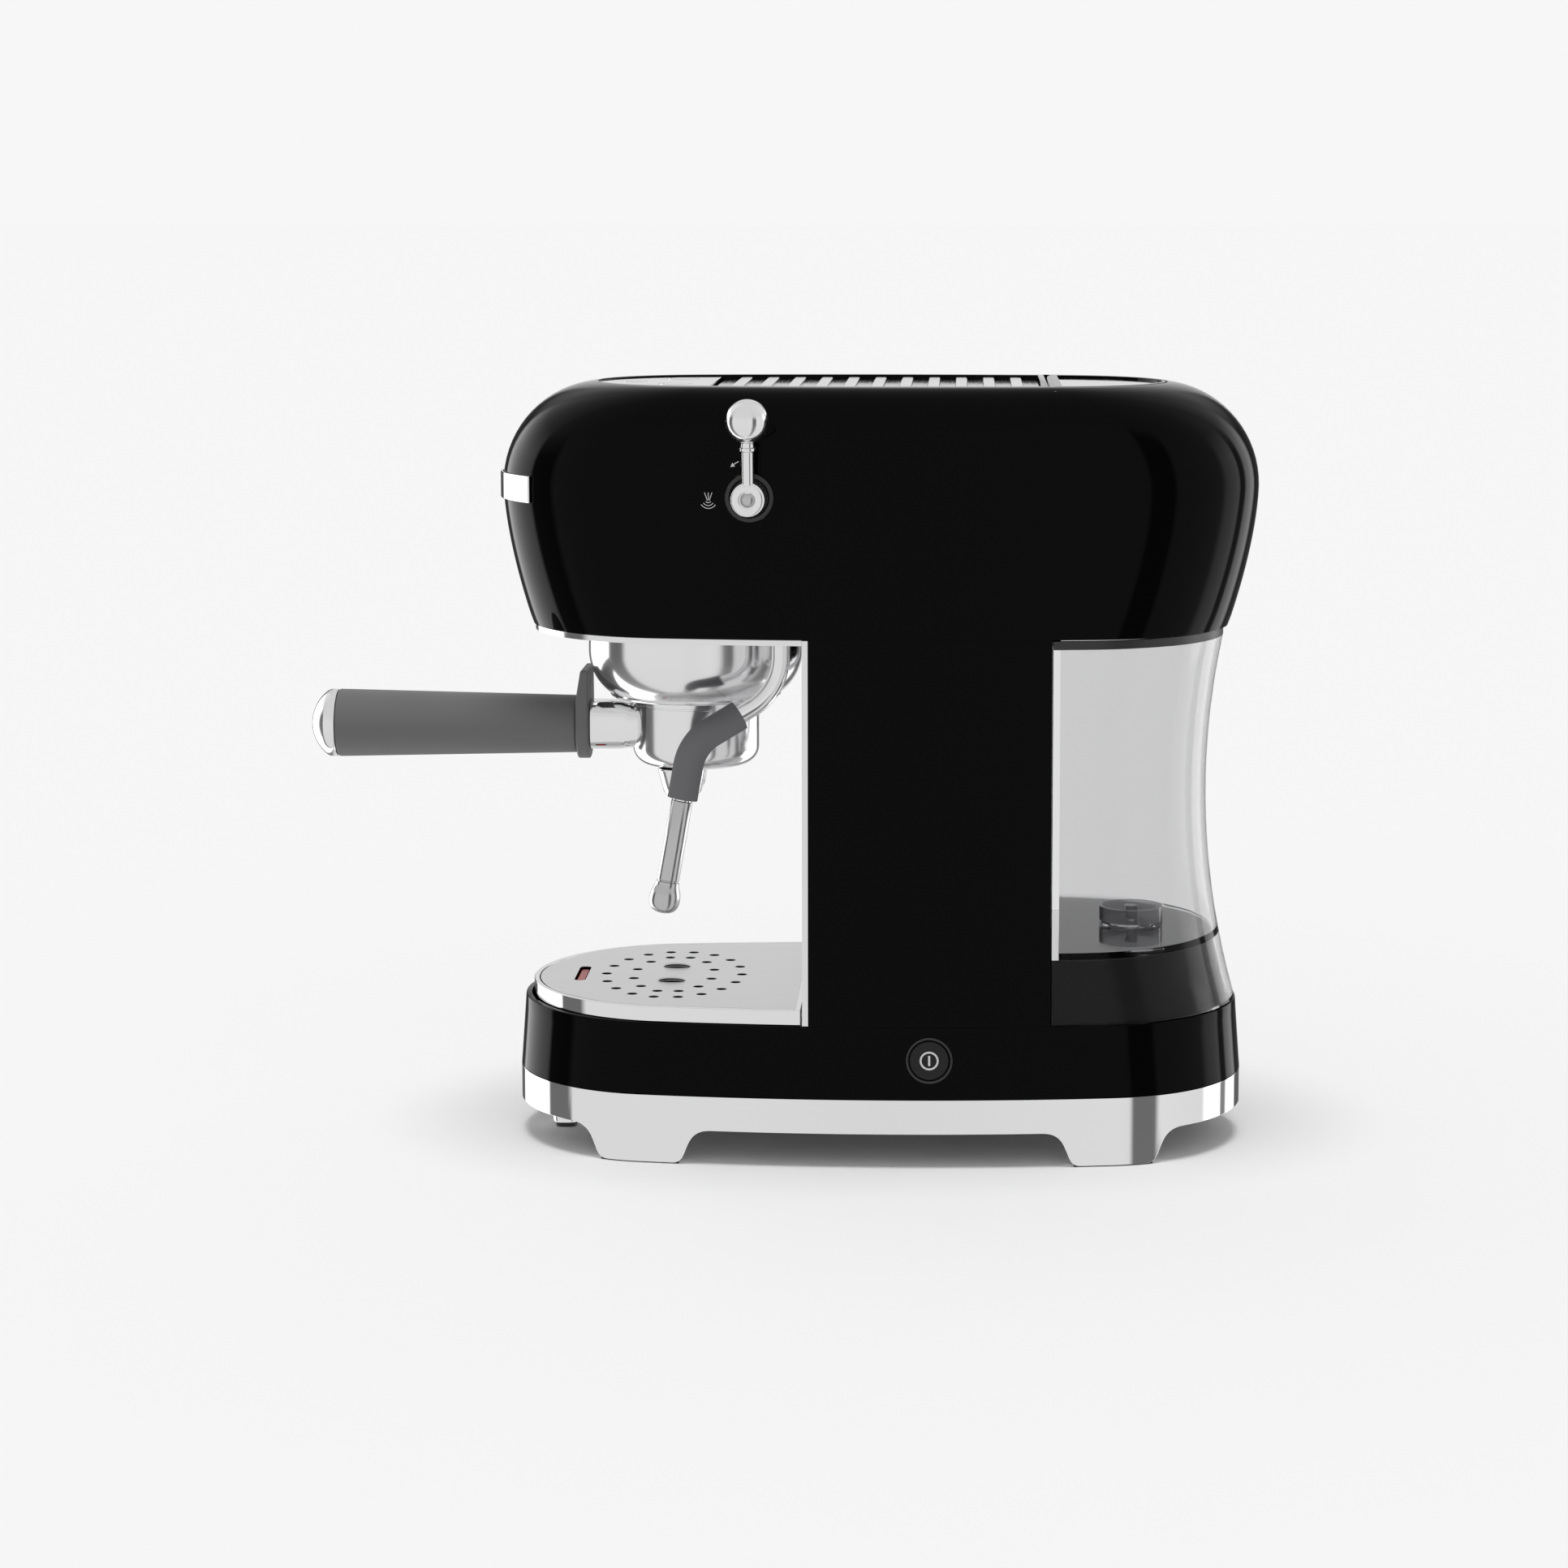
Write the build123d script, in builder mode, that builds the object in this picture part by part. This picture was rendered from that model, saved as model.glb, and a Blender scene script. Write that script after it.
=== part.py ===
from build123d import *
import math
import os

os.makedirs("parts", exist_ok=True)

# Millimetres. +Z is up, the portafilter handle points to -Y, and the origin is on the worktop
# under the middle of the body.

# ---- Driving dimensions ----
HALF_WIDTH = 74.5
SIDE_RADIUS = 722.0
WALL = 2.5
PIECE_GAP = 0.1  # between flat or straight faces of pieces that are fixed together
BODY_GAP = 0.3  # between curved faces of pieces that move past each other
FAR = 400.0  # beyond the object in every direction

PAD_HEIGHT = 2.0
RING_BOTTOM = 15.0
BASE_BOTTOM = 30.0
BASE_TOP = 61.7
DECK_THICKNESS = 2.5
BASE_HALF_LENGTH = 160.3
BASE_TOP_HALF_LENGTH = 158.0
RING_WALL = 3.0

COLUMN_FRONT = -28.8
COLUMN_REAR = 74.4
PANEL_FRONT = -31.5

HEAD_BOTTOM = 227.7
HEAD_WIDEST = 289.0
HEAD_TOP = 334.0
HEAD_BOTTOM_HALF_LENGTH = 153.3
HEAD_HALF_LENGTH = 166.0
CROWN_HALF_LENGTH = 122.0
CROWN_HALF_WIDTH = 59.0
SHOULDER_HEIGHT = 312.0  # the sides start to round over here
ROOF_UNDERSIDE = 324.0
POCKET_FLOOR = 326.0

GROUP_Y = -81.7
COLLAR_TOP = 225.0
COLLAR_BOTTOM = 194.5
HANDLE_Z = 181.3
UNLOCK_ANGLE = -45.0

LEVER_Y = -53.5
LEVER_Z = 288.0
WAND_X = 48.0
WAND_Y = -41.6
POWER_Y = 22.8
POWER_Z = 47.2
OUTLET_Y = 111.5
HINGE_Y = 75.2
HINGE_Z = 331.4
GLAND_X = -30.0
GLAND_Z = 45.0

TANK_FRONT = 74.9
TANK_BOTTOM = 62.2
TANK_FLOOR = 93.0
TANK_WALL_TOP = 223.6
TANK_WAIST = 156.0
TANK_WAIST_HALF_LENGTH = 144.1
TANK_CURVE_RADIUS = 330.0


def head_half_length(level):
    """Half the head's length at a height: it leans out to its widest, then rounds over."""
    if level <= HEAD_WIDEST:
        share = (HEAD_WIDEST - level) / (HEAD_WIDEST - HEAD_BOTTOM)
        return HEAD_HALF_LENGTH - (HEAD_HALF_LENGTH - HEAD_BOTTOM_HALF_LENGTH) * share**1.6
    share = min(1.0, (level - HEAD_WIDEST) / (HEAD_TOP - HEAD_WIDEST))
    return CROWN_HALF_LENGTH + (HEAD_HALF_LENGTH - CROWN_HALF_LENGTH) * math.sqrt(1 - share**2)


def head_half_width(level):
    """Half the head's width at a height: straight sides, then a smaller rounding."""
    if level <= SHOULDER_HEIGHT:
        return HALF_WIDTH
    share = min(1.0, (level - SHOULDER_HEIGHT) / (HEAD_TOP - SHOULDER_HEIGHT))
    return CROWN_HALF_WIDTH + (HALF_WIDTH - CROWN_HALF_WIDTH) * math.sqrt(1 - share**2)


def tank_half_length(level):
    """Distance from the middle to the tank's waisted rear wall at a height."""
    return TANK_WAIST_HALF_LENGTH + (level - TANK_WAIST) ** 2 / (2 * TANK_CURVE_RADIUS)


class Oval(BaseSketchObject):
    """Face of four tangent arcs, long axis along Y, kept between two Y values."""

    def __init__(
        self, half_length, inset=0.0, half_width=HALF_WIDTH, from_y=-FAR, to_y=FAR, mode=Mode.ADD
    ):
        length = half_length - inset
        width = half_width - inset
        side = SIDE_RADIUS - inset
        tip = (2 * width * side - width**2 - length**2) / (2 * (side - length))
        reach = tip / (side - tip)
        joint_x = reach * (side - width)
        joint_y = (length - tip) * (1 + reach)
        with BuildSketch() as oval:
            with BuildLine():
                ThreePointArc((joint_x, -joint_y), (width, 0), (joint_x, joint_y))
                ThreePointArc((joint_x, joint_y), (0, length), (-joint_x, joint_y))
                ThreePointArc((-joint_x, joint_y), (-width, 0), (-joint_x, -joint_y))
                ThreePointArc((-joint_x, -joint_y), (0, -length), (joint_x, -joint_y))
            make_face()
            if from_y > -FAR or to_y < FAR:
                with Locations((0, (from_y + to_y) / 2)):
                    Rectangle(FAR, to_y - from_y, mode=Mode.INTERSECT)
        super().__init__(oval.sketch, mode=mode)


class RingSector(BaseSketchObject):
    """Part of a flat ring about the local origin, between two angles in degrees."""

    def __init__(self, inner_radius, outer_radius, middle, sweep_angle, mode=Mode.ADD):
        with BuildSketch() as sector:
            with BuildLine():
                inner = CenterArc((0, 0), inner_radius, middle - sweep_angle / 2, sweep_angle)
                outer = CenterArc((0, 0), outer_radius, middle - sweep_angle / 2, sweep_angle)
                Line(inner @ 0, outer @ 0)
                Line(inner @ 1, outer @ 1)
            make_face()
        super().__init__(sector.sketch, mode=mode)


def group_level(level):
    """Horizontal plane at a height, centred on the brewing group."""
    return Plane.XY.offset(level).move(Location((0, GROUP_Y, 0)))


def level_at(x, y, z):
    """Horizontal plane centred on a point."""
    return Plane(origin=(x, y, z))


def side_plane(x, y, z):
    """Plane that faces +X, centred on a point, with its own axes along +Y and +Z."""
    return Plane(origin=(x, y, z), x_dir=(0, 1, 0), z_dir=(1, 0, 0))


def front_plane(x, y, z):
    """Plane that faces -Y, centred on a point, with its own axes along +X and +Z."""
    return Plane(origin=(x, y, z), x_dir=(1, 0, 0), z_dir=(0, -1, 0))


# The curved levels of the head, closer together where it rounds over.
HEAD_LEVELS = [HEAD_BOTTOM, 243.0, 258.0, 274.0, HEAD_WIDEST]
HEAD_LEVELS += [
    HEAD_WIDEST + (HEAD_TOP - HEAD_WIDEST) * math.sin(math.radians(turn))
    for turn in (16, 31, 45, 58, 70, 80, 90)
]
TANK_LEVELS = [TANK_BOTTOM, 92.0, 124.0, TANK_WAIST, 190.0, TANK_WALL_TOP]

# ---- Base: ring with its feet, bottom plate, fasteners ----
FOOT_INNER = 84.0
FOOT_OUTER = 120.0
FOOT_FLARE = 13.0
FOOT_WALL = 7.0
FOOT_TANGENT = 8.0
FRONT_FOOT_Y = -140.5

with BuildPart() as base_ring:
    with BuildSketch(Plane.XY.offset(PAD_HEIGHT)):
        Oval(BASE_HALF_LENGTH)
        Oval(BASE_HALF_LENGTH, inset=FOOT_WALL, mode=Mode.SUBTRACT)
    extrude(amount=RING_BOTTOM - PAD_HEIGHT)
    with BuildSketch(Plane.YZ.offset(-FAR)):
        with BuildLine():
            Bezier(
                (FOOT_INNER, PAD_HEIGHT),
                (FOOT_INNER - 4, PAD_HEIGHT + 7),
                (FOOT_INNER - FOOT_FLARE + FOOT_TANGENT, RING_BOTTOM),
                (FOOT_INNER - FOOT_FLARE, RING_BOTTOM),
            )
            Line((FOOT_INNER - FOOT_FLARE, RING_BOTTOM), (0, RING_BOTTOM))
            Line((0, RING_BOTTOM), (0, PAD_HEIGHT))
            Line((0, PAD_HEIGHT), (FOOT_INNER, PAD_HEIGHT))
        make_face()
        with BuildLine():
            Bezier(
                (FOOT_OUTER, PAD_HEIGHT),
                (FOOT_OUTER + 4, PAD_HEIGHT + 7),
                (FOOT_OUTER + FOOT_FLARE - FOOT_TANGENT, RING_BOTTOM),
                (FOOT_OUTER + FOOT_FLARE, RING_BOTTOM),
            )
            Line((FOOT_OUTER + FOOT_FLARE, RING_BOTTOM), (FAR, RING_BOTTOM))
            Line((FAR, RING_BOTTOM), (FAR, PAD_HEIGHT))
            Line((FAR, PAD_HEIGHT), (FOOT_OUTER, PAD_HEIGHT))
        make_face()
        mirror(about=Plane.YZ)
    extrude(amount=2 * FAR, mode=Mode.SUBTRACT)
    with BuildSketch(Plane.XY.offset(RING_BOTTOM)):
        Oval(BASE_HALF_LENGTH)
        Oval(BASE_HALF_LENGTH, inset=RING_WALL, mode=Mode.SUBTRACT)
    extrude(amount=BASE_BOTTOM - RING_BOTTOM)

with BuildPart() as rubber_feet:
    with BuildSketch():
        Oval(BASE_HALF_LENGTH, inset=0.8)
        Oval(BASE_HALF_LENGTH, inset=FOOT_WALL - 0.8, mode=Mode.SUBTRACT)
        Rectangle(FAR, 2 * (FOOT_INNER + 1), mode=Mode.SUBTRACT)
        with Locations((0, FOOT_OUTER - 1 + FAR / 2), (0, 1 - FOOT_OUTER - FAR / 2)):
            Rectangle(FAR, FAR, mode=Mode.SUBTRACT)
        with Locations((0, FRONT_FOOT_Y)):
            RectangleRounded(16, 9, 3)
    extrude(amount=PAD_HEIGHT)

PLATE_THICKNESS = 2.5
with BuildPart() as front_foot:
    with BuildSketch(Plane.XY.offset(PAD_HEIGHT)):
        with Locations((0, FRONT_FOOT_Y)):
            RectangleRounded(18, 11, 4)
    with BuildSketch(Plane.XY.offset(BASE_BOTTOM - PLATE_THICKNESS)):
        with Locations((0, FRONT_FOOT_Y + 3)):
            RectangleRounded(34, 24, 8)
    loft()

SCREW_POINTS = [(67.5, 0), (-67.5, 0), (63.5, 70), (-63.5, 70), (63.5, -70), (-63.5, -70)]
SCREW_RADIUS = 1.7
BOSS_RADIUS = 5.5
with BuildPart() as bottom_plate:
    with BuildSketch(Plane.XY.offset(BASE_BOTTOM - PLATE_THICKNESS)):
        Oval(BASE_HALF_LENGTH, inset=RING_WALL + PIECE_GAP)
        with Locations(*SCREW_POINTS):
            Circle(SCREW_RADIUS + PIECE_GAP, mode=Mode.SUBTRACT)
        with Locations((0, 40)):
            with GridLocations(14, 0, 7, 1):
                SlotOverall(34, 4, rotation=90, mode=Mode.SUBTRACT)
    extrude(amount=PLATE_THICKNESS)

with BuildPart() as bottom_screws:
    with BuildSketch(Plane.XY.offset(BASE_BOTTOM - PLATE_THICKNESS - 2.2)):
        with Locations(*SCREW_POINTS):
            Circle(3.2)
    extrude(amount=2.2)
    with BuildSketch(Plane.XY.offset(BASE_BOTTOM - PLATE_THICKNESS)):
        with Locations(*SCREW_POINTS):
            Circle(SCREW_RADIUS)
    extrude(amount=8)

# ---- Base shell, column shell and head shell, with flush sides ----
TRAY_REAR = -32.2
GROUP_HOLE = 41.5
WAND_HOLE = 9.3
BEZEL_RADIUS = 10.5
POWER_BEZEL_RADIUS = 10.1
GLAND_RADIUS = 7.5
PLATE_HALF_LENGTH = 124.0
PLATE_HALF_WIDTH = 52.0
LID_HALF_LENGTH = 125.6
LID_HALF_WIDTH = 57.6
LID_SEAT = 72.4
WARMER_REAR = 69.5
HINGE_PIN_RADIUS = 1.0
HINGE_PIN_REACH = 61.0
CHUTE_TOP = (52.0, 34.0, 98.0)  # inner width, inner depth, middle Y
CHUTE_BOTTOM = (40.0, 30.0, 105.0)
CHUTE_WALL = 1.6
BUTTON_POINTS = [(-22.0, -88.5), (0.0, -108.0), (22.0, -88.5)]
BUTTON_RADII = [7.0, 5.2, 7.0]
STEM_RADIUS = 3.0

class ColumnDuct(BaseSketchObject):
    """Inside of the hollow column."""

    def __init__(self, mode=Mode.ADD):
        front = COLUMN_FRONT + WALL
        rear = COLUMN_REAR - WALL
        duct = Oval(BASE_TOP_HALF_LENGTH, inset=WALL, from_y=front, to_y=rear, mode=Mode.PRIVATE)
        super().__init__(duct, mode=mode)


with BuildPart() as base_band:
    for level, half_length in ((BASE_BOTTOM, BASE_HALF_LENGTH), (BASE_TOP, BASE_TOP_HALF_LENGTH)):
        with BuildSketch(Plane.XY.offset(level)):
            Oval(half_length)
    loft(ruled=True)
    # Open below, with the tray bay open above in front of the backsplash.
    with BuildSketch(Plane.XY.offset(BASE_BOTTOM)):
        Oval(BASE_TOP_HALF_LENGTH, inset=WALL)
    extrude(amount=BASE_TOP - DECK_THICKNESS - BASE_BOTTOM, mode=Mode.SUBTRACT)
    with BuildSketch(Plane.XY.offset(BASE_TOP - DECK_THICKNESS)):
        Oval(BASE_TOP_HALF_LENGTH, inset=WALL, to_y=TRAY_REAR)
        ColumnDuct()
        with Locations((0, OUTLET_Y)):
            Circle(10)
    extrude(amount=DECK_THICKNESS, mode=Mode.SUBTRACT)
    with BuildSketch(side_plane(60, POWER_Y, POWER_Z)):
        Circle(POWER_BEZEL_RADIUS + 0.2)
    extrude(amount=20, mode=Mode.SUBTRACT)
    with BuildSketch(front_plane(GLAND_X, 170, GLAND_Z)):
        Circle(GLAND_RADIUS + 0.2)
    extrude(amount=40, mode=Mode.SUBTRACT)
    # Screw bosses on the inside of the wall.
    with BuildSketch(Plane.XY.offset(BASE_BOTTOM)):
        with Locations(*SCREW_POINTS):
            Circle(BOSS_RADIUS)
    extrude(amount=6.8)
    with BuildSketch(Plane.XY.offset(BASE_BOTTOM)):
        with Locations(*SCREW_POINTS):
            Circle(SCREW_RADIUS + PIECE_GAP)
    extrude(amount=6, mode=Mode.SUBTRACT)

# The band is two mouldings that meet below the backsplash.
with BuildPart() as bay_wall:
    add(base_band)
    split(bisect_by=Plane(origin=(0, TRAY_REAR - PIECE_GAP, 0), z_dir=(0, 1, 0)), keep=Keep.BOTTOM)

with BuildPart() as base_shell:
    add(base_band)
    split(bisect_by=Plane(origin=(0, TRAY_REAR, 0), z_dir=(0, 1, 0)), keep=Keep.TOP)

with BuildPart() as column_shell:
    with BuildSketch(Plane.XY.offset(BASE_TOP)):
        Oval(BASE_TOP_HALF_LENGTH, from_y=COLUMN_FRONT, to_y=COLUMN_REAR)
        ColumnDuct(mode=Mode.SUBTRACT)
    extrude(amount=HEAD_BOTTOM - BASE_TOP)

with BuildPart() as head_shell:
    for level in HEAD_LEVELS:
        with BuildSketch(Plane.XY.offset(level)):
            Oval(head_half_length(level), half_width=head_half_width(level))
    loft()
    # Hollow under the roof.
    inner_levels = [HEAD_BOTTOM + DECK_THICKNESS, 245.0, 266.0, HEAD_WIDEST, 301.0, 313.0]
    for level in inner_levels + [ROOF_UNDERSIDE]:
        with BuildSketch(Plane.XY.offset(level)):
            Oval(head_half_length(level), inset=WALL, half_width=head_half_width(level))
    loft(mode=Mode.SUBTRACT)
    # Pocket for the control panel and the cup warmer, and the seat of the lid behind it.
    with BuildSketch(Plane.XY.offset(POCKET_FLOOR)):
        Oval(PLATE_HALF_LENGTH, half_width=PLATE_HALF_WIDTH, to_y=WARMER_REAR + BODY_GAP)
    extrude(amount=FAR, mode=Mode.SUBTRACT)
    with BuildSketch(Plane.XY.offset(POCKET_FLOOR - BODY_GAP)):
        Oval(LID_HALF_LENGTH, half_width=LID_HALF_WIDTH, from_y=LID_SEAT)
    extrude(amount=FAR, mode=Mode.SUBTRACT)
    with BuildSketch(Plane.XY.offset(ROOF_UNDERSIDE - 1)):
        with Locations((0, CHUTE_TOP[2])):
            RectangleRounded(CHUTE_TOP[0], CHUTE_TOP[1], 10)
        with Locations(*BUTTON_POINTS):
            Circle(STEM_RADIUS + 1)
    extrude(amount=5, mode=Mode.SUBTRACT)
    # Openings in the floor: group, wand, chute, and the column below.
    with BuildSketch(Plane.XY.offset(HEAD_BOTTOM)):
        ColumnDuct()
        with Locations((0, GROUP_Y)):
            Circle(GROUP_HOLE)
        with Locations((WAND_X, WAND_Y)):
            Circle(WAND_HOLE)
        with Locations((0, CHUTE_BOTTOM[2])):
            outer = 2 * (CHUTE_WALL + 0.5)
            RectangleRounded(CHUTE_BOTTOM[0] + outer, CHUTE_BOTTOM[1] + outer, 9)
    extrude(amount=DECK_THICKNESS, mode=Mode.SUBTRACT)
    with BuildSketch(side_plane(60, LEVER_Y, LEVER_Z)):
        Circle(BEZEL_RADIUS + 0.2)
    extrude(amount=20, mode=Mode.SUBTRACT)
    with BuildSketch(side_plane(-HINGE_PIN_REACH, HINGE_Y, HINGE_Z)):
        Circle(HINGE_PIN_RADIUS + 0.02)
    extrude(amount=2 * HINGE_PIN_REACH, mode=Mode.SUBTRACT)

with BuildPart() as backsplash:
    with BuildSketch(Plane.XY.offset(BASE_TOP + PIECE_GAP)):
        Oval(BASE_TOP_HALF_LENGTH, from_y=PANEL_FRONT, to_y=COLUMN_FRONT - PIECE_GAP)
    extrude(amount=HEAD_BOTTOM - BASE_TOP - 2 * PIECE_GAP)

UNDERPLATE_BOTTOM = 225.2
with BuildPart() as head_underplate:
    with BuildSketch(Plane.XY.offset(UNDERPLATE_BOTTOM)):
        Oval(HEAD_BOTTOM_HALF_LENGTH, inset=1.0, to_y=PANEL_FRONT - PIECE_GAP)
        with Locations((0, GROUP_Y)):
            Circle(GROUP_HOLE, mode=Mode.SUBTRACT)
        with Locations((WAND_X, WAND_Y)):
            Circle(WAND_HOLE, mode=Mode.SUBTRACT)
    extrude(amount=HEAD_BOTTOM - PIECE_GAP - UNDERPLATE_BOTTOM)

BADGE_WIDTH = 90.0
BADGE_HEIGHT = 12.0
BADGE_THICKNESS = 1.1
BADGE_ARC_RADIUS = 67.3  # the head's front rounding at its widest
with BuildPart() as front_badge:
    with BuildSketch(level_at(0, BADGE_ARC_RADIUS - HEAD_HALF_LENGTH, HEAD_WIDEST - BADGE_HEIGHT / 2)):
        half_angle = math.degrees(math.asin(BADGE_WIDTH / 2 / BADGE_ARC_RADIUS))
        RingSector(
            BADGE_ARC_RADIUS + 0.1, BADGE_ARC_RADIUS + 0.1 + BADGE_THICKNESS, -90, 2 * half_angle
        )
    extrude(amount=BADGE_HEIGHT)

# ---- Top: control panel with its buttons, cup warmer, lid ----
PANEL_TOP = 332.2
PANEL_REAR = -72.6
WARMER_FRONT = -71.4
WARMER_TOP = 330.7
RIB_COUNT = 11
RIB_PITCH = 12.07
RIB_WIDTH = 5.4
RIB_HEIGHT = 1.4
RIB_HALF_SPAN = 44.0

with BuildPart() as control_panel:
    with BuildSketch(Plane.XY.offset(POCKET_FLOOR)):
        Oval(PLATE_HALF_LENGTH, inset=0.2, half_width=PLATE_HALF_WIDTH, to_y=PANEL_REAR)
        for point, radius in zip(BUTTON_POINTS, BUTTON_RADII):
            with Locations(point):
                Circle(radius + BODY_GAP, mode=Mode.SUBTRACT)
    extrude(amount=PANEL_TOP - POCKET_FLOOR)

with BuildPart() as cup_warmer_plate:
    with BuildSketch(Plane.XY.offset(POCKET_FLOOR)):
        Oval(
            PLATE_HALF_LENGTH,
            inset=0.2,
            half_width=PLATE_HALF_WIDTH,
            from_y=WARMER_FRONT,
            to_y=WARMER_REAR,
        )
    extrude(amount=WARMER_TOP - POCKET_FLOOR)
    with BuildSketch(Plane.XY.offset(WARMER_TOP)):
        with Locations((0, -0.7)):
            with GridLocations(0, RIB_PITCH, 1, RIB_COUNT):
                SlotOverall(2 * RIB_HALF_SPAN, RIB_WIDTH)
    extrude(amount=RIB_HEIGHT)

CAP_BOTTOM = 328.0
CAP_TOP = 332.9
STEM_BOTTOM = 320.5


def press_button(point, radius):
    """Round cap on a stem that reaches through the roof to its switch."""
    with BuildPart() as button:
        with BuildSketch(level_at(point[0], point[1], CAP_BOTTOM)):
            Circle(radius)
        extrude(amount=CAP_TOP - CAP_BOTTOM)
        fillet(button.edges().group_by(Axis.Z)[-1], 0.5)
        with BuildSketch(level_at(point[0], point[1], STEM_BOTTOM)):
            Circle(STEM_RADIUS)
        extrude(amount=CAP_BOTTOM - STEM_BOTTOM)
    return button


button_left = press_button(BUTTON_POINTS[0], BUTTON_RADII[0])
button_front = press_button(BUTTON_POINTS[1], BUTTON_RADII[1])
button_right = press_button(BUTTON_POINTS[2], BUTTON_RADII[2])

BARREL_RADIUS = 2.4
BARREL_REACH = 52.0
LID_PLATE_HALF_LENGTH = 123.3
LID_PLATE_FRONT = 78.4
LID_PLATE_BOTTOM = 329.4
LID_PLATE_TOP = 331.6
LID_GAP = 0.8
with BuildPart() as tank_lid:
    for level in HEAD_LEVELS:
        with BuildSketch(Plane.XY.offset(level)):
            Oval(head_half_length(level), half_width=head_half_width(level))
    loft()
    with BuildSketch(Plane.XY.offset(POCKET_FLOOR)):
        Oval(LID_HALF_LENGTH, inset=LID_GAP, half_width=LID_HALF_WIDTH, from_y=HINGE_Y)
    extrude(amount=HEAD_TOP - POCKET_FLOOR + 1, mode=Mode.INTERSECT)
    with BuildSketch(Plane.XY.offset(LID_PLATE_BOTTOM)):
        Oval(LID_PLATE_HALF_LENGTH, half_width=PLATE_HALF_WIDTH, from_y=LID_PLATE_FRONT)
    extrude(amount=FAR, mode=Mode.SUBTRACT)
    with BuildSketch(side_plane(-BARREL_REACH, HINGE_Y, HINGE_Z)):
        Circle(BARREL_RADIUS)
    extrude(amount=2 * BARREL_REACH)
    with BuildSketch(side_plane(-HINGE_PIN_REACH, HINGE_Y, HINGE_Z)):
        Circle(HINGE_PIN_RADIUS + 0.06)
    extrude(amount=2 * HINGE_PIN_REACH, mode=Mode.SUBTRACT)

with BuildPart() as lid_plate:
    with BuildSketch(Plane.XY.offset(LID_PLATE_BOTTOM)):
        Oval(
            LID_PLATE_HALF_LENGTH,
            inset=0.2,
            half_width=PLATE_HALF_WIDTH,
            from_y=LID_PLATE_FRONT + 0.2,
        )
    extrude(amount=LID_PLATE_TOP - LID_PLATE_BOTTOM)

with BuildPart() as lid_hinge_pin:
    with BuildSketch(side_plane(-HINGE_PIN_REACH, HINGE_Y, HINGE_Z)):
        Circle(HINGE_PIN_RADIUS)
    extrude(amount=2 * HINGE_PIN_REACH)

with BuildPart() as fill_chute:
    for grow in (CHUTE_WALL, 0.0):
        with BuildSketch(level_at(0, CHUTE_BOTTOM[2], HEAD_BOTTOM)):
            RectangleRounded(CHUTE_BOTTOM[0] + 2 * grow, CHUTE_BOTTOM[1] + 2 * grow, 8 + grow)
        with BuildSketch(level_at(0, CHUTE_TOP[2], ROOF_UNDERSIDE)):
            RectangleRounded(CHUTE_TOP[0] + 2 * grow, CHUTE_TOP[1] + 2 * grow, 8 + grow)
        loft(ruled=True, mode=Mode.ADD if grow else Mode.SUBTRACT)

# ---- Brewing group ----
COLLAR_RADIUS = 47.3
CAVITY_RADIUS = 35.0
LIP_RADIUS = 29.8
LIP_TOP = 198.2
EAR_RADIUS = 33.8
EAR_ANGLE = 40.0
with BuildPart() as group_collar:
    with BuildSketch(front_plane(0, GROUP_Y, 0)):
        with BuildLine():
            Line((CAVITY_RADIUS, COLLAR_TOP), (COLLAR_RADIUS, COLLAR_TOP))
            Line((COLLAR_RADIUS, COLLAR_TOP), (COLLAR_RADIUS, 216))
            ThreePointArc((COLLAR_RADIUS, 216), (44.2, 203.4), (37.5, 196.2))
            Polyline(
                (37.5, 196.2),
                (35.4, COLLAR_BOTTOM),
                (LIP_RADIUS, COLLAR_BOTTOM),
                (LIP_RADIUS, LIP_TOP),
                (CAVITY_RADIUS, LIP_TOP),
                (CAVITY_RADIUS, COLLAR_TOP),
            )
        make_face()
    revolve(axis=Axis((0, GROUP_Y, 0), (0, 0, 1)))
    with BuildSketch(group_level(COLLAR_BOTTOM - 1)):
        for middle in (UNLOCK_ANGLE, UNLOCK_ANGLE + 180):
            RingSector(LIP_RADIUS - 1, EAR_RADIUS + 0.5, middle, EAR_ANGLE + 4)
    extrude(amount=LIP_TOP - COLLAR_BOTTOM + 2, mode=Mode.SUBTRACT)

GASKET_BOTTOM = 206.4
HEAD_BLOCK_BOTTOM = 214.3
SCREEN_BOTTOM = 206.3
with BuildPart() as group_head:
    with BuildSketch(front_plane(0, GROUP_Y, 0)):
        with BuildLine():
            Polyline(
                (0, 208.6),
                (23.8, 208.6),
                (23.8, HEAD_BLOCK_BOTTOM),
                (34.8, HEAD_BLOCK_BOTTOM),
                (34.8, COLLAR_TOP + PIECE_GAP),
                (GROUP_HOLE - 0.5, COLLAR_TOP + PIECE_GAP),
                (GROUP_HOLE - 0.5, HEAD_BOTTOM + DECK_THICKNESS + PIECE_GAP),
                (46, HEAD_BOTTOM + DECK_THICKNESS + PIECE_GAP),
                (46, 245),
                (0, 245),
                close=True,
            )
        make_face()
    revolve(axis=Axis((0, GROUP_Y, 0), (0, 0, 1)))

with BuildPart() as group_gasket:
    with BuildSketch(group_level(GASKET_BOTTOM)):
        Circle(34.4)
        Circle(24.2, mode=Mode.SUBTRACT)
    extrude(amount=HEAD_BLOCK_BOTTOM - PIECE_GAP - GASKET_BOTTOM)

with BuildPart() as shower_screen:
    with BuildSketch(group_level(SCREEN_BOTTOM)):
        Circle(23.6)
        for ring_radius, count in ((8, 8), (13, 12), (18, 18)):
            with PolarLocations(ring_radius, count):
                Circle(0.9, mode=Mode.SUBTRACT)
    extrude(amount=2.1)

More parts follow.
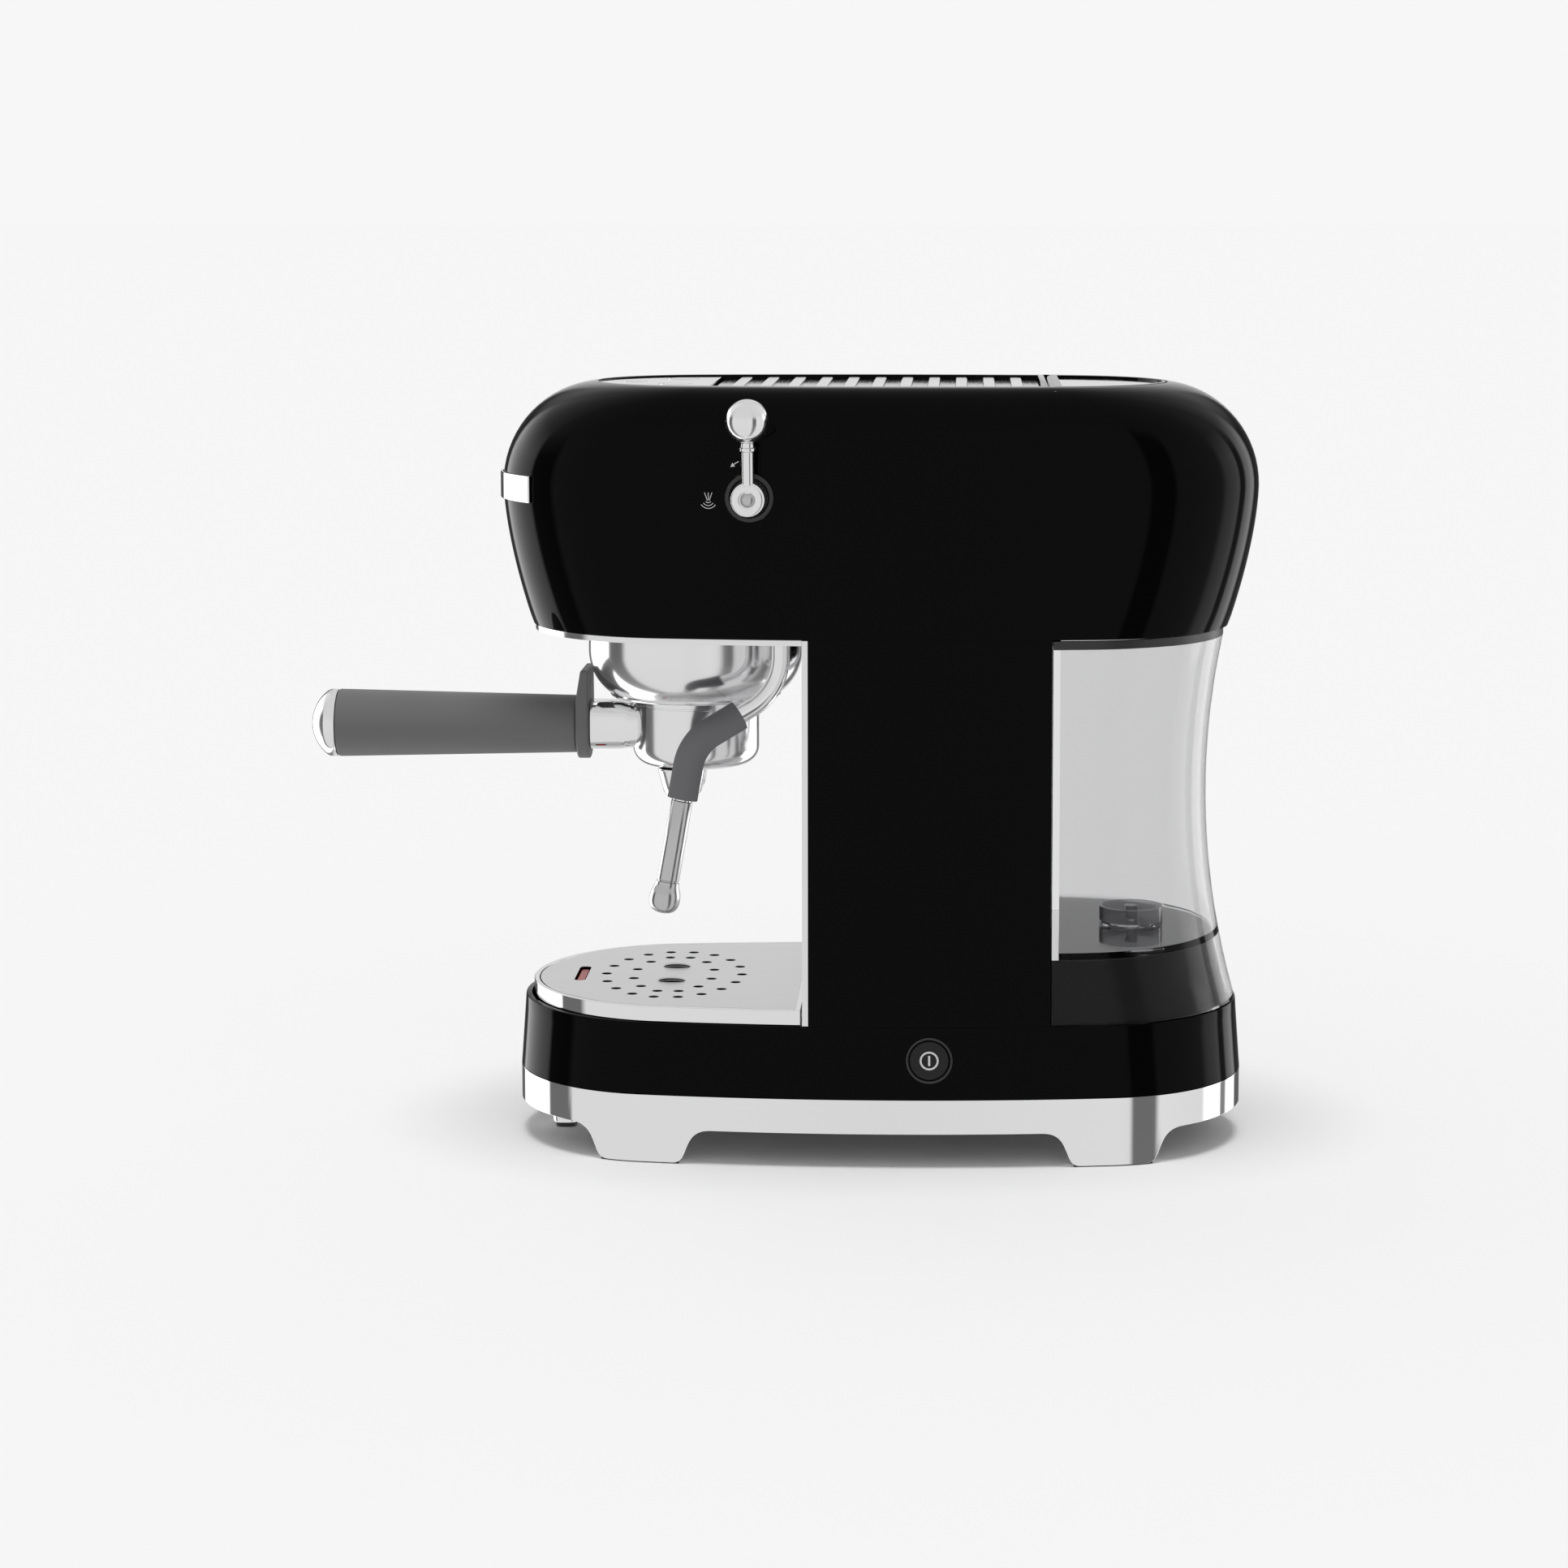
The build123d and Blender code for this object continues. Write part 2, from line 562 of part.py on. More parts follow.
BLOCK_TOP = 276.0
with BuildPart() as thermoblock:
    with BuildSketch(group_level(245.1)):
        RectangleRounded(74, 88, 8)
    extrude(amount=BLOCK_TOP - 245.1)
    fillet(thermoblock.edges().group_by(Axis.Z)[-1], 3)

# ---- Portafilter ----
PORTA_RADIUS = 28.0
PORTA_BOTTOM = 164.0
PORTA_TOP = 205.0
with BuildPart() as portafilter_body:
    with BuildSketch(group_level(PORTA_BOTTOM)):
        Circle(PORTA_RADIUS)
    extrude(amount=PORTA_TOP - PORTA_BOTTOM)
    fillet(portafilter_body.edges().group_by(Axis.Z)[0], 8)
    with BuildSketch(group_level(198.6)):
        Circle(30.5)
    extrude(amount=PORTA_TOP - 198.6)
    with BuildSketch(group_level(198.9)):
        for middle in (0, 180):
            RingSector(29, EAR_RADIUS, middle, EAR_ANGLE)
    extrude(amount=4.4)
    with BuildSketch(group_level(169.5)):
        Circle(26.4)
    extrude(amount=FAR, mode=Mode.SUBTRACT)
    with BuildSketch(group_level(PORTA_BOTTOM)):
        Circle(4)
    extrude(amount=8, mode=Mode.SUBTRACT)

with BuildPart() as filter_basket:
    with BuildSketch(front_plane(0, GROUP_Y, 0)):
        with BuildLine():
            Polyline(
                (0, 178),
                (24.4, 178),
                (25.9, 205.1),
                (29.5, 205.1),
                (29.5, 206.0),
                (25.1, 206.0),
                (23.6, 178.8),
                (0, 178.8),
                close=True,
            )
        make_face()
    revolve(axis=Axis((0, GROUP_Y, 0), (0, 0, 1)))

SPOUT_REACH = 13.5
SPOUT_Y = -85.7
SPOUT_BOTTOM = 152.6
SPOUT_BORE = 4.0
SPOUT_SIZES = [(SPOUT_BOTTOM, 42.0, 19.0), (PORTA_BOTTOM - PIECE_GAP, 46.0, 24.0)]
with BuildPart() as spout:
    for level, size_x, size_y in SPOUT_SIZES:
        with BuildSketch(level_at(0, SPOUT_Y, level)):
            RectangleRounded(size_x, size_y, 8)
    loft()
    with BuildSketch(front_plane(0, SPOUT_Y + 20, SPOUT_BOTTOM)):
        Circle(5.5)
    extrude(amount=40, mode=Mode.SUBTRACT)
    with BuildSketch(level_at(0, SPOUT_Y, SPOUT_BOTTOM)):
        with GridLocations(2 * SPOUT_REACH, 0, 2, 1):
            Circle(SPOUT_BORE)
    extrude(amount=8, mode=Mode.SUBTRACT)
    with BuildSketch(level_at(0, SPOUT_Y, SPOUT_BOTTOM + 6.5)):
        Rectangle(2 * SPOUT_REACH + 5, 6)
    extrude(amount=2.5, mode=Mode.SUBTRACT)
    with BuildSketch(group_level(SPOUT_BOTTOM + 6.5)):
        Circle(SPOUT_BORE)
    extrude(amount=FAR, mode=Mode.SUBTRACT)

GUARD_FRONT = -128.5
GUARD_REAR = -134.0
GRIP_END = -240.8
CAP_END = -252.8
STUD_RADIUS = 5.0
with BuildPart() as handle_neck:
    with BuildSketch(front_plane(0, GROUP_Y - 20, HANDLE_Z)):
        RectangleRounded(22, 21.6, 8)
    extrude(amount=GROUP_Y - 20 - GUARD_FRONT - PIECE_GAP)
    with BuildSketch(front_plane(0, GROUP_Y - 20, HANDLE_Z)):
        RectangleRounded(26, 20, 9)
    extrude(amount=11)
    with BuildSketch(group_level(150)):
        Circle(PORTA_RADIUS + PIECE_GAP)
    extrude(amount=60, mode=Mode.SUBTRACT)
    with BuildSketch(front_plane(0, GUARD_FRONT + 12, HANDLE_Z)):
        Circle(STUD_RADIUS)
    extrude(amount=60)

with BuildPart() as handle_guard:
    with BuildSketch(front_plane(0, GUARD_FRONT, HANDLE_Z)):
        with BuildLine():
            Polyline((-15.5, 0), (-12, 25.4), (12, 25.4), (15.5, 0))
            ThreePointArc((15.5, 0), (0, -15.3), (-15.5, 0))
        make_face()
        fillet(vertices().group_by(Axis.Y)[-1], 9)
        Circle(STUD_RADIUS + 0.05, mode=Mode.SUBTRACT)
    extrude(amount=GUARD_FRONT - GUARD_REAR)

with BuildPart() as handle_grip:
    with BuildSketch(front_plane(0, GUARD_REAR - PIECE_GAP, HANDLE_Z)):
        Circle(12.75)
    with BuildSketch(front_plane(0, GRIP_END, HANDLE_Z)):
        Circle(15)
    loft(ruled=True)
    with BuildSketch(front_plane(0, GUARD_REAR, HANDLE_Z)):
        Circle(STUD_RADIUS + 0.05)
    extrude(amount=45, mode=Mode.SUBTRACT)

CAP_RADIUS = 15.0
CAP_RIM = 4.0
CAP_LENGTH = GRIP_END - PIECE_GAP - CAP_END
with BuildPart() as handle_cap:
    with BuildSketch(level_at(0, GRIP_END - PIECE_GAP, HANDLE_Z)):
        with BuildLine():
            Polyline((0, -CAP_LENGTH), (0, 0), (CAP_RADIUS, 0), (CAP_RADIUS, -CAP_RIM))
            rise = CAP_LENGTH - CAP_RIM
            dome = CAP_RADIUS**2 / (2 * rise) + rise / 2
            half_turn = math.asin(CAP_RADIUS / dome) / 2
            middle = (dome * math.sin(half_turn), dome - CAP_LENGTH - dome * math.cos(half_turn))
            ThreePointArc((CAP_RADIUS, -CAP_RIM), middle, (0, -CAP_LENGTH))
        make_face()
    revolve(axis=Axis((0, 0, HANDLE_Z), (0, 1, 0)))

# ---- Drip tray ----
RIM_BOTTOM = 61.9
RIM_TOP = 68.4
TRAY_HALF_LENGTH = 154.3
BASIN_HALF_LENGTH = 152.5
BASIN_BOTTOM = 38.0
BASIN_FLOOR = 40.2
GRID_SEAT = 66.3
GRID_HOLE = 2.35
with BuildPart() as drip_basin:
    with BuildSketch(Plane.XY.offset(BASIN_BOTTOM)):
        Oval(BASIN_HALF_LENGTH, half_width=71.2, to_y=TRAY_REAR - 0.6)
    extrude(amount=RIM_BOTTOM - BASIN_BOTTOM)
    with BuildSketch(Plane.XY.offset(RIM_BOTTOM)):
        Oval(TRAY_HALF_LENGTH, half_width=73.7, to_y=TRAY_REAR)
    extrude(amount=RIM_TOP - RIM_BOTTOM)
    with BuildSketch(Plane.XY.offset(BASIN_FLOOR)):
        Oval(BASIN_HALF_LENGTH, inset=2.2, half_width=71.2, to_y=TRAY_REAR - 2.8)
    extrude(amount=RIM_TOP - BASIN_FLOOR, mode=Mode.SUBTRACT)
    with BuildSketch(Plane.XY.offset(GRID_SEAT)):
        Oval(TRAY_HALF_LENGTH, inset=2.2, half_width=73.7, to_y=TRAY_REAR - 1.8)
    extrude(amount=RIM_TOP - GRID_SEAT, mode=Mode.SUBTRACT)

FLOAT_Y = -133.0
with BuildPart() as drip_grid:
    with BuildSketch(Plane.XY.offset(GRID_SEAT + PIECE_GAP)):
        Oval(TRAY_HALF_LENGTH, inset=2.5, half_width=73.7, to_y=TRAY_REAR - 2.1)
        for count, half_x, half_y in ((18, 47.7, 30.3), (12, 36.5, 17.9)):
            for index in range(count):
                turn = 2 * math.pi * (index + 0.5) / count
                with Locations((half_x * math.cos(turn), -92 + half_y * math.sin(turn))):
                    Circle(GRID_HOLE, mode=Mode.SUBTRACT)
        with Locations((0, FLOAT_Y)):
            SlotOverall(30, 5, mode=Mode.SUBTRACT)
    extrude(amount=RIM_TOP - GRID_SEAT - PIECE_GAP)
    with BuildSketch(level_at(0, -92, RIM_TOP)):
        with Locations((-15, 0)):
            RingSector(0.5, 6.4, 180, 178)
        with Locations((15, 0)):
            RingSector(0.5, 6.4, 0, 178)
    extrude(amount=1.8)

with BuildPart() as tray_float:
    with BuildSketch(level_at(0, FLOAT_Y, BASIN_FLOOR + 0.3)):
        RectangleRounded(26, 3.6, 1.6)
    extrude(amount=67.4 - BASIN_FLOOR - 0.3)

# ---- Water tank and its seat ----
PEDESTAL_TOP = 89.5
TANK_SHELF = 90.0
with BuildPart() as tank_pedestal:
    for level in (BASE_TOP + PIECE_GAP, PEDESTAL_TOP):
        with BuildSketch(Plane.XY.offset(level)):
            Oval(tank_half_length(level), inset=3.5, from_y=COLUMN_REAR + 0.8)
    loft(ruled=True)
    for level in (BASE_TOP + PIECE_GAP, PEDESTAL_TOP - 2.5):
        with BuildSketch(Plane.XY.offset(level)):
            Oval(tank_half_length(level), inset=6, from_y=COLUMN_REAR + 3.3)
    loft(ruled=True, mode=Mode.SUBTRACT)
    with BuildSketch(level_at(0, OUTLET_Y, PEDESTAL_TOP - 3)):
        Circle(9.5)
    extrude(amount=4, mode=Mode.SUBTRACT)

with BuildPart() as inlet_port:
    with BuildSketch(level_at(0, OUTLET_Y, 82)):
        Circle(9.2)
    extrude(amount=PEDESTAL_TOP + 0.2 - 82)
    with BuildSketch(level_at(0, OUTLET_Y, 76)):
        Circle(3.9)
    extrude(amount=6)
    with BuildSketch(level_at(0, OUTLET_Y, 76)):
        Circle(2.5)
    extrude(amount=20, mode=Mode.SUBTRACT)

with BuildPart() as water_tank:
    for level in TANK_LEVELS:
        with BuildSketch(Plane.XY.offset(level)):
            Oval(tank_half_length(level), from_y=TANK_FRONT)
    loft()
    for level in [TANK_FLOOR] + TANK_LEVELS[2:]:
        with BuildSketch(Plane.XY.offset(level)):
            Oval(tank_half_length(level), inset=2.6, from_y=TANK_FRONT + 3)
    loft(mode=Mode.SUBTRACT)
    for level in (TANK_BOTTOM, 76.0, TANK_SHELF):
        with BuildSketch(Plane.XY.offset(level)):
            Oval(tank_half_length(level), inset=2.6, from_y=TANK_FRONT - 1)
    loft(mode=Mode.SUBTRACT)
    with BuildSketch(level_at(0, OUTLET_Y, TANK_SHELF)):
        Circle(9.1)
    extrude(amount=TANK_FLOOR - TANK_SHELF, mode=Mode.SUBTRACT)

with BuildPart() as tank_rim:
    with BuildSketch(Plane.XY.offset(TANK_WALL_TOP + PIECE_GAP)):
        Oval(tank_half_length(TANK_WALL_TOP), from_y=TANK_FRONT)
        Oval(tank_half_length(TANK_WALL_TOP), inset=3.2, from_y=TANK_FRONT + 3.2, mode=Mode.SUBTRACT)
    extrude(amount=3.5)

with BuildPart() as tank_valve:
    with BuildSketch(level_at(0, OUTLET_Y, TANK_SHELF + 0.1)):
        Circle(9.0)
    extrude(amount=3)
    with BuildSketch(level_at(0, OUTLET_Y, TANK_FLOOR + 0.1)):
        Circle(14)
    extrude(amount=8)
    with BuildSketch(level_at(0, OUTLET_Y, TANK_FLOOR + 1.5)):
        Circle(12.8)
        Circle(3, mode=Mode.SUBTRACT)
    extrude(amount=8, mode=Mode.SUBTRACT)

# ---- Steam lever, valve and wand ----
SHAFT_RADIUS = 4.0
with BuildPart() as lever_bezel:
    with BuildSketch(side_plane(69.8, LEVER_Y, LEVER_Z)):
        Circle(BEZEL_RADIUS)
        Circle(SHAFT_RADIUS + 0.06, mode=Mode.SUBTRACT)
    extrude(amount=4.6)

HUB_START = 74.8
HUB_END = 86.0
BALL_X = 88.5
BALL_Z = 321.0
BALL_RADIUS = 9.3
with BuildPart() as lever_hub:
    with BuildSketch(side_plane(69.6, LEVER_Y, LEVER_Z)):
        Circle(SHAFT_RADIUS)
    extrude(amount=HUB_START - 69.6)
    with BuildSketch(side_plane(HUB_START, LEVER_Y, LEVER_Z)):
        Circle(7.6)
    extrude(amount=HUB_END - HUB_START)
    fillet(lever_hub.edges().group_by(Axis.X)[-1], 2.5)
    with BuildSketch(level_at(83, LEVER_Y, LEVER_Z)):
        Circle(2.75)
    extrude(amount=BALL_Z - LEVER_Z)

with BuildPart() as lever_ball:
    with BuildSketch(front_plane(BALL_X - 2, LEVER_Y, BALL_Z)):
        Circle(BALL_RADIUS)
        Rectangle(FAR, FAR, align=(Align.MAX, Align.CENTER), mode=Mode.SUBTRACT)
    revolve(axis=Axis((BALL_X - 2, LEVER_Y, BALL_Z), (0, 0, 1)))
    with BuildSketch(level_at(83, LEVER_Y, BALL_Z - 20)):
        Circle(2.85)
    extrude(amount=20.1, mode=Mode.SUBTRACT)

with BuildPart() as steam_valve:
    with BuildSketch(side_plane(38, LEVER_Y, LEVER_Z)):
        Circle(9)
    extrude(amount=31)
    with BuildSketch(side_plane(60, LEVER_Y, LEVER_Z)):
        RegularPolygon(11, 6)
    extrude(amount=6)

WAND_CORNER_HIGH = (WAND_X, WAND_Y, 203.0)
WAND_CORNER_LOW = (60.0, -79.0, 181.5)
WAND_TIP = (64.0, -91.9, 108.8)
WAND_TOP = (WAND_X, WAND_Y, 229.0)
WAND_RADIUS = 4.0
WAND_BEND_HIGH = 25.0
WAND_BEND_LOW = 20.0


def between(start, end, share):
    """Point on the straight line from start to end."""
    return tuple(a + (b - a) * share for a, b in zip(start, end))


GRIP_START = between(WAND_CORNER_HIGH, WAND_CORNER_LOW, 0.46)
GRIP_FINISH = between(WAND_CORNER_LOW, WAND_TIP, 0.33)
SLEEVE_START = between(WAND_CORNER_LOW, WAND_TIP, 0.335)
SLEEVE_FINISH = between(WAND_CORNER_LOW, WAND_TIP, 0.805)
BULB_START = between(WAND_CORNER_LOW, WAND_TIP, 0.81)
NOZZLE_END = between(WAND_CORNER_LOW, WAND_TIP, 0.985)


def tube(points, bends, outer, inner):
    """Round tube along straight runs joined by tangent arcs."""
    with BuildPart() as swept:
        with BuildLine() as route:
            if bends:
                FilletPolyline(*points, radius=bends)
            else:
                Line(*points)
        with BuildSketch(Plane(origin=route.line @ 0, z_dir=route.line % 0)):
            Circle(outer)
            if inner:
                Circle(inner, mode=Mode.SUBTRACT)
        sweep(path=route.wires()[0])
    return swept


wand_tube = tube(
    [WAND_TOP, WAND_CORNER_HIGH, WAND_CORNER_LOW, NOZZLE_END],
    [WAND_BEND_HIGH, WAND_BEND_LOW],
    WAND_RADIUS,
    1.6,
)
wand_grip = tube(
    [GRIP_START, WAND_CORNER_LOW, GRIP_FINISH], [WAND_BEND_LOW], 6.5, WAND_RADIUS + 0.05
)
frother_sleeve = tube([SLEEVE_START, SLEEVE_FINISH], [], 5.0, WAND_RADIUS + 0.05)
frother_tip = tube([BULB_START, WAND_TIP], [], 6.6, WAND_RADIUS + 0.05)

with BuildPart() as wand_joint:
    with BuildSketch(level_at(WAND_X, WAND_Y, UNDERPLATE_BOTTOM - 0.8)):
        Circle(7.4)
        Circle(WAND_RADIUS + 0.05, mode=Mode.SUBTRACT)
    extrude(amount=9.5)

with BuildPart() as wand_socket:
    with BuildSketch(level_at(WAND_X, WAND_Y, UNDERPLATE_BOTTOM)):
        Circle(9.1)
        Circle(7.46, mode=Mode.SUBTRACT)
    extrude(amount=10)
    with BuildSketch(level_at(WAND_X, WAND_Y, UNDERPLATE_BOTTOM + 10)):
        Circle(9.1)
        Circle(2.5, mode=Mode.SUBTRACT)
    extrude(amount=9)

steam_pipe = tube(
    [
        (WAND_X, LEVER_Y, LEVER_Z - 9.1),
        (WAND_X, LEVER_Y, 264),
        (WAND_X, WAND_Y, 256),
        (WAND_X, WAND_Y, UNDERPLATE_BOTTOM + 19.1),
    ],
    [6, 6],
    2.5,
    1.5,
)

# ---- Power button and its switch ----
with BuildPart() as power_bezel:
    with BuildSketch(side_plane(69.5, POWER_Y, POWER_Z)):
        Circle(POWER_BEZEL_RADIUS)
        Circle(8.8, mode=Mode.SUBTRACT)
    extrude(amount=5)

with BuildPart() as power_button:
    with BuildSketch(side_plane(68, POWER_Y, POWER_Z)):
        Circle(8.5)
    extrude(amount=6.2)
    fillet(power_button.edges().group_by(Axis.X)[-1], 0.6)

with BuildPart() as power_switch:
    with BuildSketch(side_plane(46, POWER_Y, POWER_Z)):
        RectangleRounded(20, 16, 2)
    extrude(amount=20)

# ---- Pump, hoses and electronics ----
PUMP_X = -20.0
PUMP_Y = 25.0
PUMP_BOTTOM = 100.0
PUMP_TOP = 158.0
with BuildPart() as pump:
    with BuildSketch(level_at(PUMP_X, PUMP_Y, PUMP_BOTTOM)):
        RectangleRounded(50, 46, 5)
    extrude(amount=PUMP_TOP - PUMP_BOTTOM)
    with BuildSketch(level_at(PUMP_X, PUMP_Y, PUMP_BOTTOM - 18)):
        Circle(11)
    extrude(amount=18)
    with BuildSketch(level_at(PUMP_X, PUMP_Y, PUMP_TOP)):
        Circle(12)
    extrude(amount=26)

with BuildPart() as pump_bracket:
    with BuildSketch(level_at(PUMP_X, PUMP_Y, PUMP_BOTTOM - 2.1)):
        with Locations((0, 10.5)):
            Rectangle(44, 71)
        Circle(12.5, mode=Mode.SUBTRACT)
    extrude(amount=2)
    with BuildSketch(level_at(PUMP_X, PUMP_Y + 45, PUMP_BOTTOM - 0.1)):
        Rectangle(44, 2)
    extrude(amount=40)

HOSE_RADIUS = 3.9
feed_hose = tube(
    [
        (0, OUTLET_Y, 75.9),
        (0, OUTLET_Y, 47),
        (PUMP_X, PUMP_Y, 47),
        (PUMP_X, PUMP_Y, PUMP_BOTTOM - 18.1),
    ],
    [13, 15],
    HOSE_RADIUS,
    2.5,
)
pressure_hose = tube(
    [
        (PUMP_X, PUMP_Y, PUMP_TOP + 26.1),
        (PUMP_X, PUMP_Y, 262),
        (PUMP_X, GROUP_Y + 44.2, 262),
    ],
    [25],
    HOSE_RADIUS,
    2.5,
)
with BuildPart() as water_hoses:
    add(feed_hose)
    add(pressure_hose)

BOARD_BOTTOM = 312.0
with BuildPart() as control_board:
    with BuildSketch(level_at(0, -97, BOARD_BOTTOM)):
        Rectangle(66, 40)
    extrude(amount=1.6)
    with BuildSketch(Plane.XY.offset(BOARD_BOTTOM + 1.6)):
        with Locations(*BUTTON_POINTS):
            Rectangle(6, 6)
    extrude(amount=4)

with BuildPart() as cord_gland:
    with BuildSketch(front_plane(GLAND_X, 157.5, GLAND_Z)):
        Circle(GLAND_RADIUS)
        Circle(3.6, mode=Mode.SUBTRACT)
    extrude(amount=13.5)

PIECES = {
    "base_ring": base_ring,
    "rubber_feet": rubber_feet,
    "front_foot": front_foot,
    "bottom_plate": bottom_plate,
    "bottom_screws": bottom_screws,
    "base_shell": base_shell,
    "bay_wall": bay_wall,
    "column_shell": column_shell,
    "head_shell": head_shell,
    "backsplash": backsplash,
    "head_underplate": head_underplate,
    "front_badge": front_badge,
    "control_panel": control_panel,
    "cup_warmer_plate": cup_warmer_plate,
    "button_left": button_left,
    "button_front": button_front,
    "button_right": button_right,
    "tank_lid": tank_lid,
    "lid_plate": lid_plate,
    "lid_hinge_pin": lid_hinge_pin,
    "fill_chute": fill_chute,
    "group_collar": group_collar,
    "group_head": group_head,
    "group_gasket": group_gasket,
    "shower_screen": shower_screen,
    "thermoblock": thermoblock,
    "portafilter_body": portafilter_body,
    "filter_basket": filter_basket,
    "spout": spout,
    "handle_neck": handle_neck,
    "handle_guard": handle_guard,
    "handle_grip": handle_grip,
    "handle_cap": handle_cap,
    "drip_basin": drip_basin,
    "drip_grid": drip_grid,
    "tray_float": tray_float,
    "tank_pedestal": tank_pedestal,
    "inlet_port": inlet_port,
    "water_tank": water_tank,
    "tank_rim": tank_rim,
    "tank_valve": tank_valve,
    "lever_bezel": lever_bezel,
    "lever_hub": lever_hub,
    "lever_ball": lever_ball,
    "steam_valve": steam_valve,
    "wand_joint": wand_joint,
    "wand_socket": wand_socket,
    "wand_tube": wand_tube,
    "wand_grip": wand_grip,
    "frother_sleeve": frother_sleeve,
    "frother_tip": frother_tip,
    "steam_pipe": steam_pipe,
    "power_bezel": power_bezel,
    "power_button": power_button,
    "power_switch": power_switch,
    "pump": pump,
    "pump_bracket": pump_bracket,
    "water_hoses": water_hoses,
    "control_board": control_board,
    "cord_gland": cord_gland,
}
for name, piece in PIECES.items():
    piece.part.label = name
    export_step(piece.part, f"parts/{name}.step")
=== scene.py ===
import logging
import math
from dataclasses import dataclass
from enum import Enum
from typing import ClassVar, Sequence

import bmesh
import bpy
from mathutils import Matrix, Vector


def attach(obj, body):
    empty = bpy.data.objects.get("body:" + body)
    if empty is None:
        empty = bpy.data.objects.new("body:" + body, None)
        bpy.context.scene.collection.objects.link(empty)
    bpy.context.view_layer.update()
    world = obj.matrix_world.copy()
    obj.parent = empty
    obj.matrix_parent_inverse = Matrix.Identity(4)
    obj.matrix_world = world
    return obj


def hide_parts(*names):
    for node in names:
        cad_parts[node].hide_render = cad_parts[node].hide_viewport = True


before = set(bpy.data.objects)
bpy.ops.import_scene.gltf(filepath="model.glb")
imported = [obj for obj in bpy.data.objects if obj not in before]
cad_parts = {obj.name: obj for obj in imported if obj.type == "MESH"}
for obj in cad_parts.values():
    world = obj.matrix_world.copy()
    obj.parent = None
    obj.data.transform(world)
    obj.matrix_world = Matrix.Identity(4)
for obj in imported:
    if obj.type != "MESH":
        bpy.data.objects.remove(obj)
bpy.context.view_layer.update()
LOG = logging.getLogger("espresso_machine")

# Sizes below are in millimetres, and MM turns them into metres where a mesh is made.
MM = 0.001
HALF_WIDTH = 74.5
SIDE_RADIUS = 722.0
MERGE = 1e-6

Flat = tuple[float, float]
BUTTONS = ((-22.0, -88.5, 7.0), (0.0, -108.0, 5.2), (22.0, -88.5, 7.0))


class Texture(Enum):
    """What the surface shows close up."""

    POLISHED = "polished"
    SMUDGED = "smudged"
    BRUSHED_X = "brushed_x"
    BRUSHED_Y = "brushed_y"
    BRUSHED_Z = "brushed_z"
    GRAINED = "grained"
    MOULDED = "moulded"


STRETCH = {
    Texture.BRUSHED_X: (0.02, 1.0, 1.0),
    Texture.BRUSHED_Y: (1.0, 0.02, 1.0),
    Texture.BRUSHED_Z: (1.0, 1.0, 0.02),
}


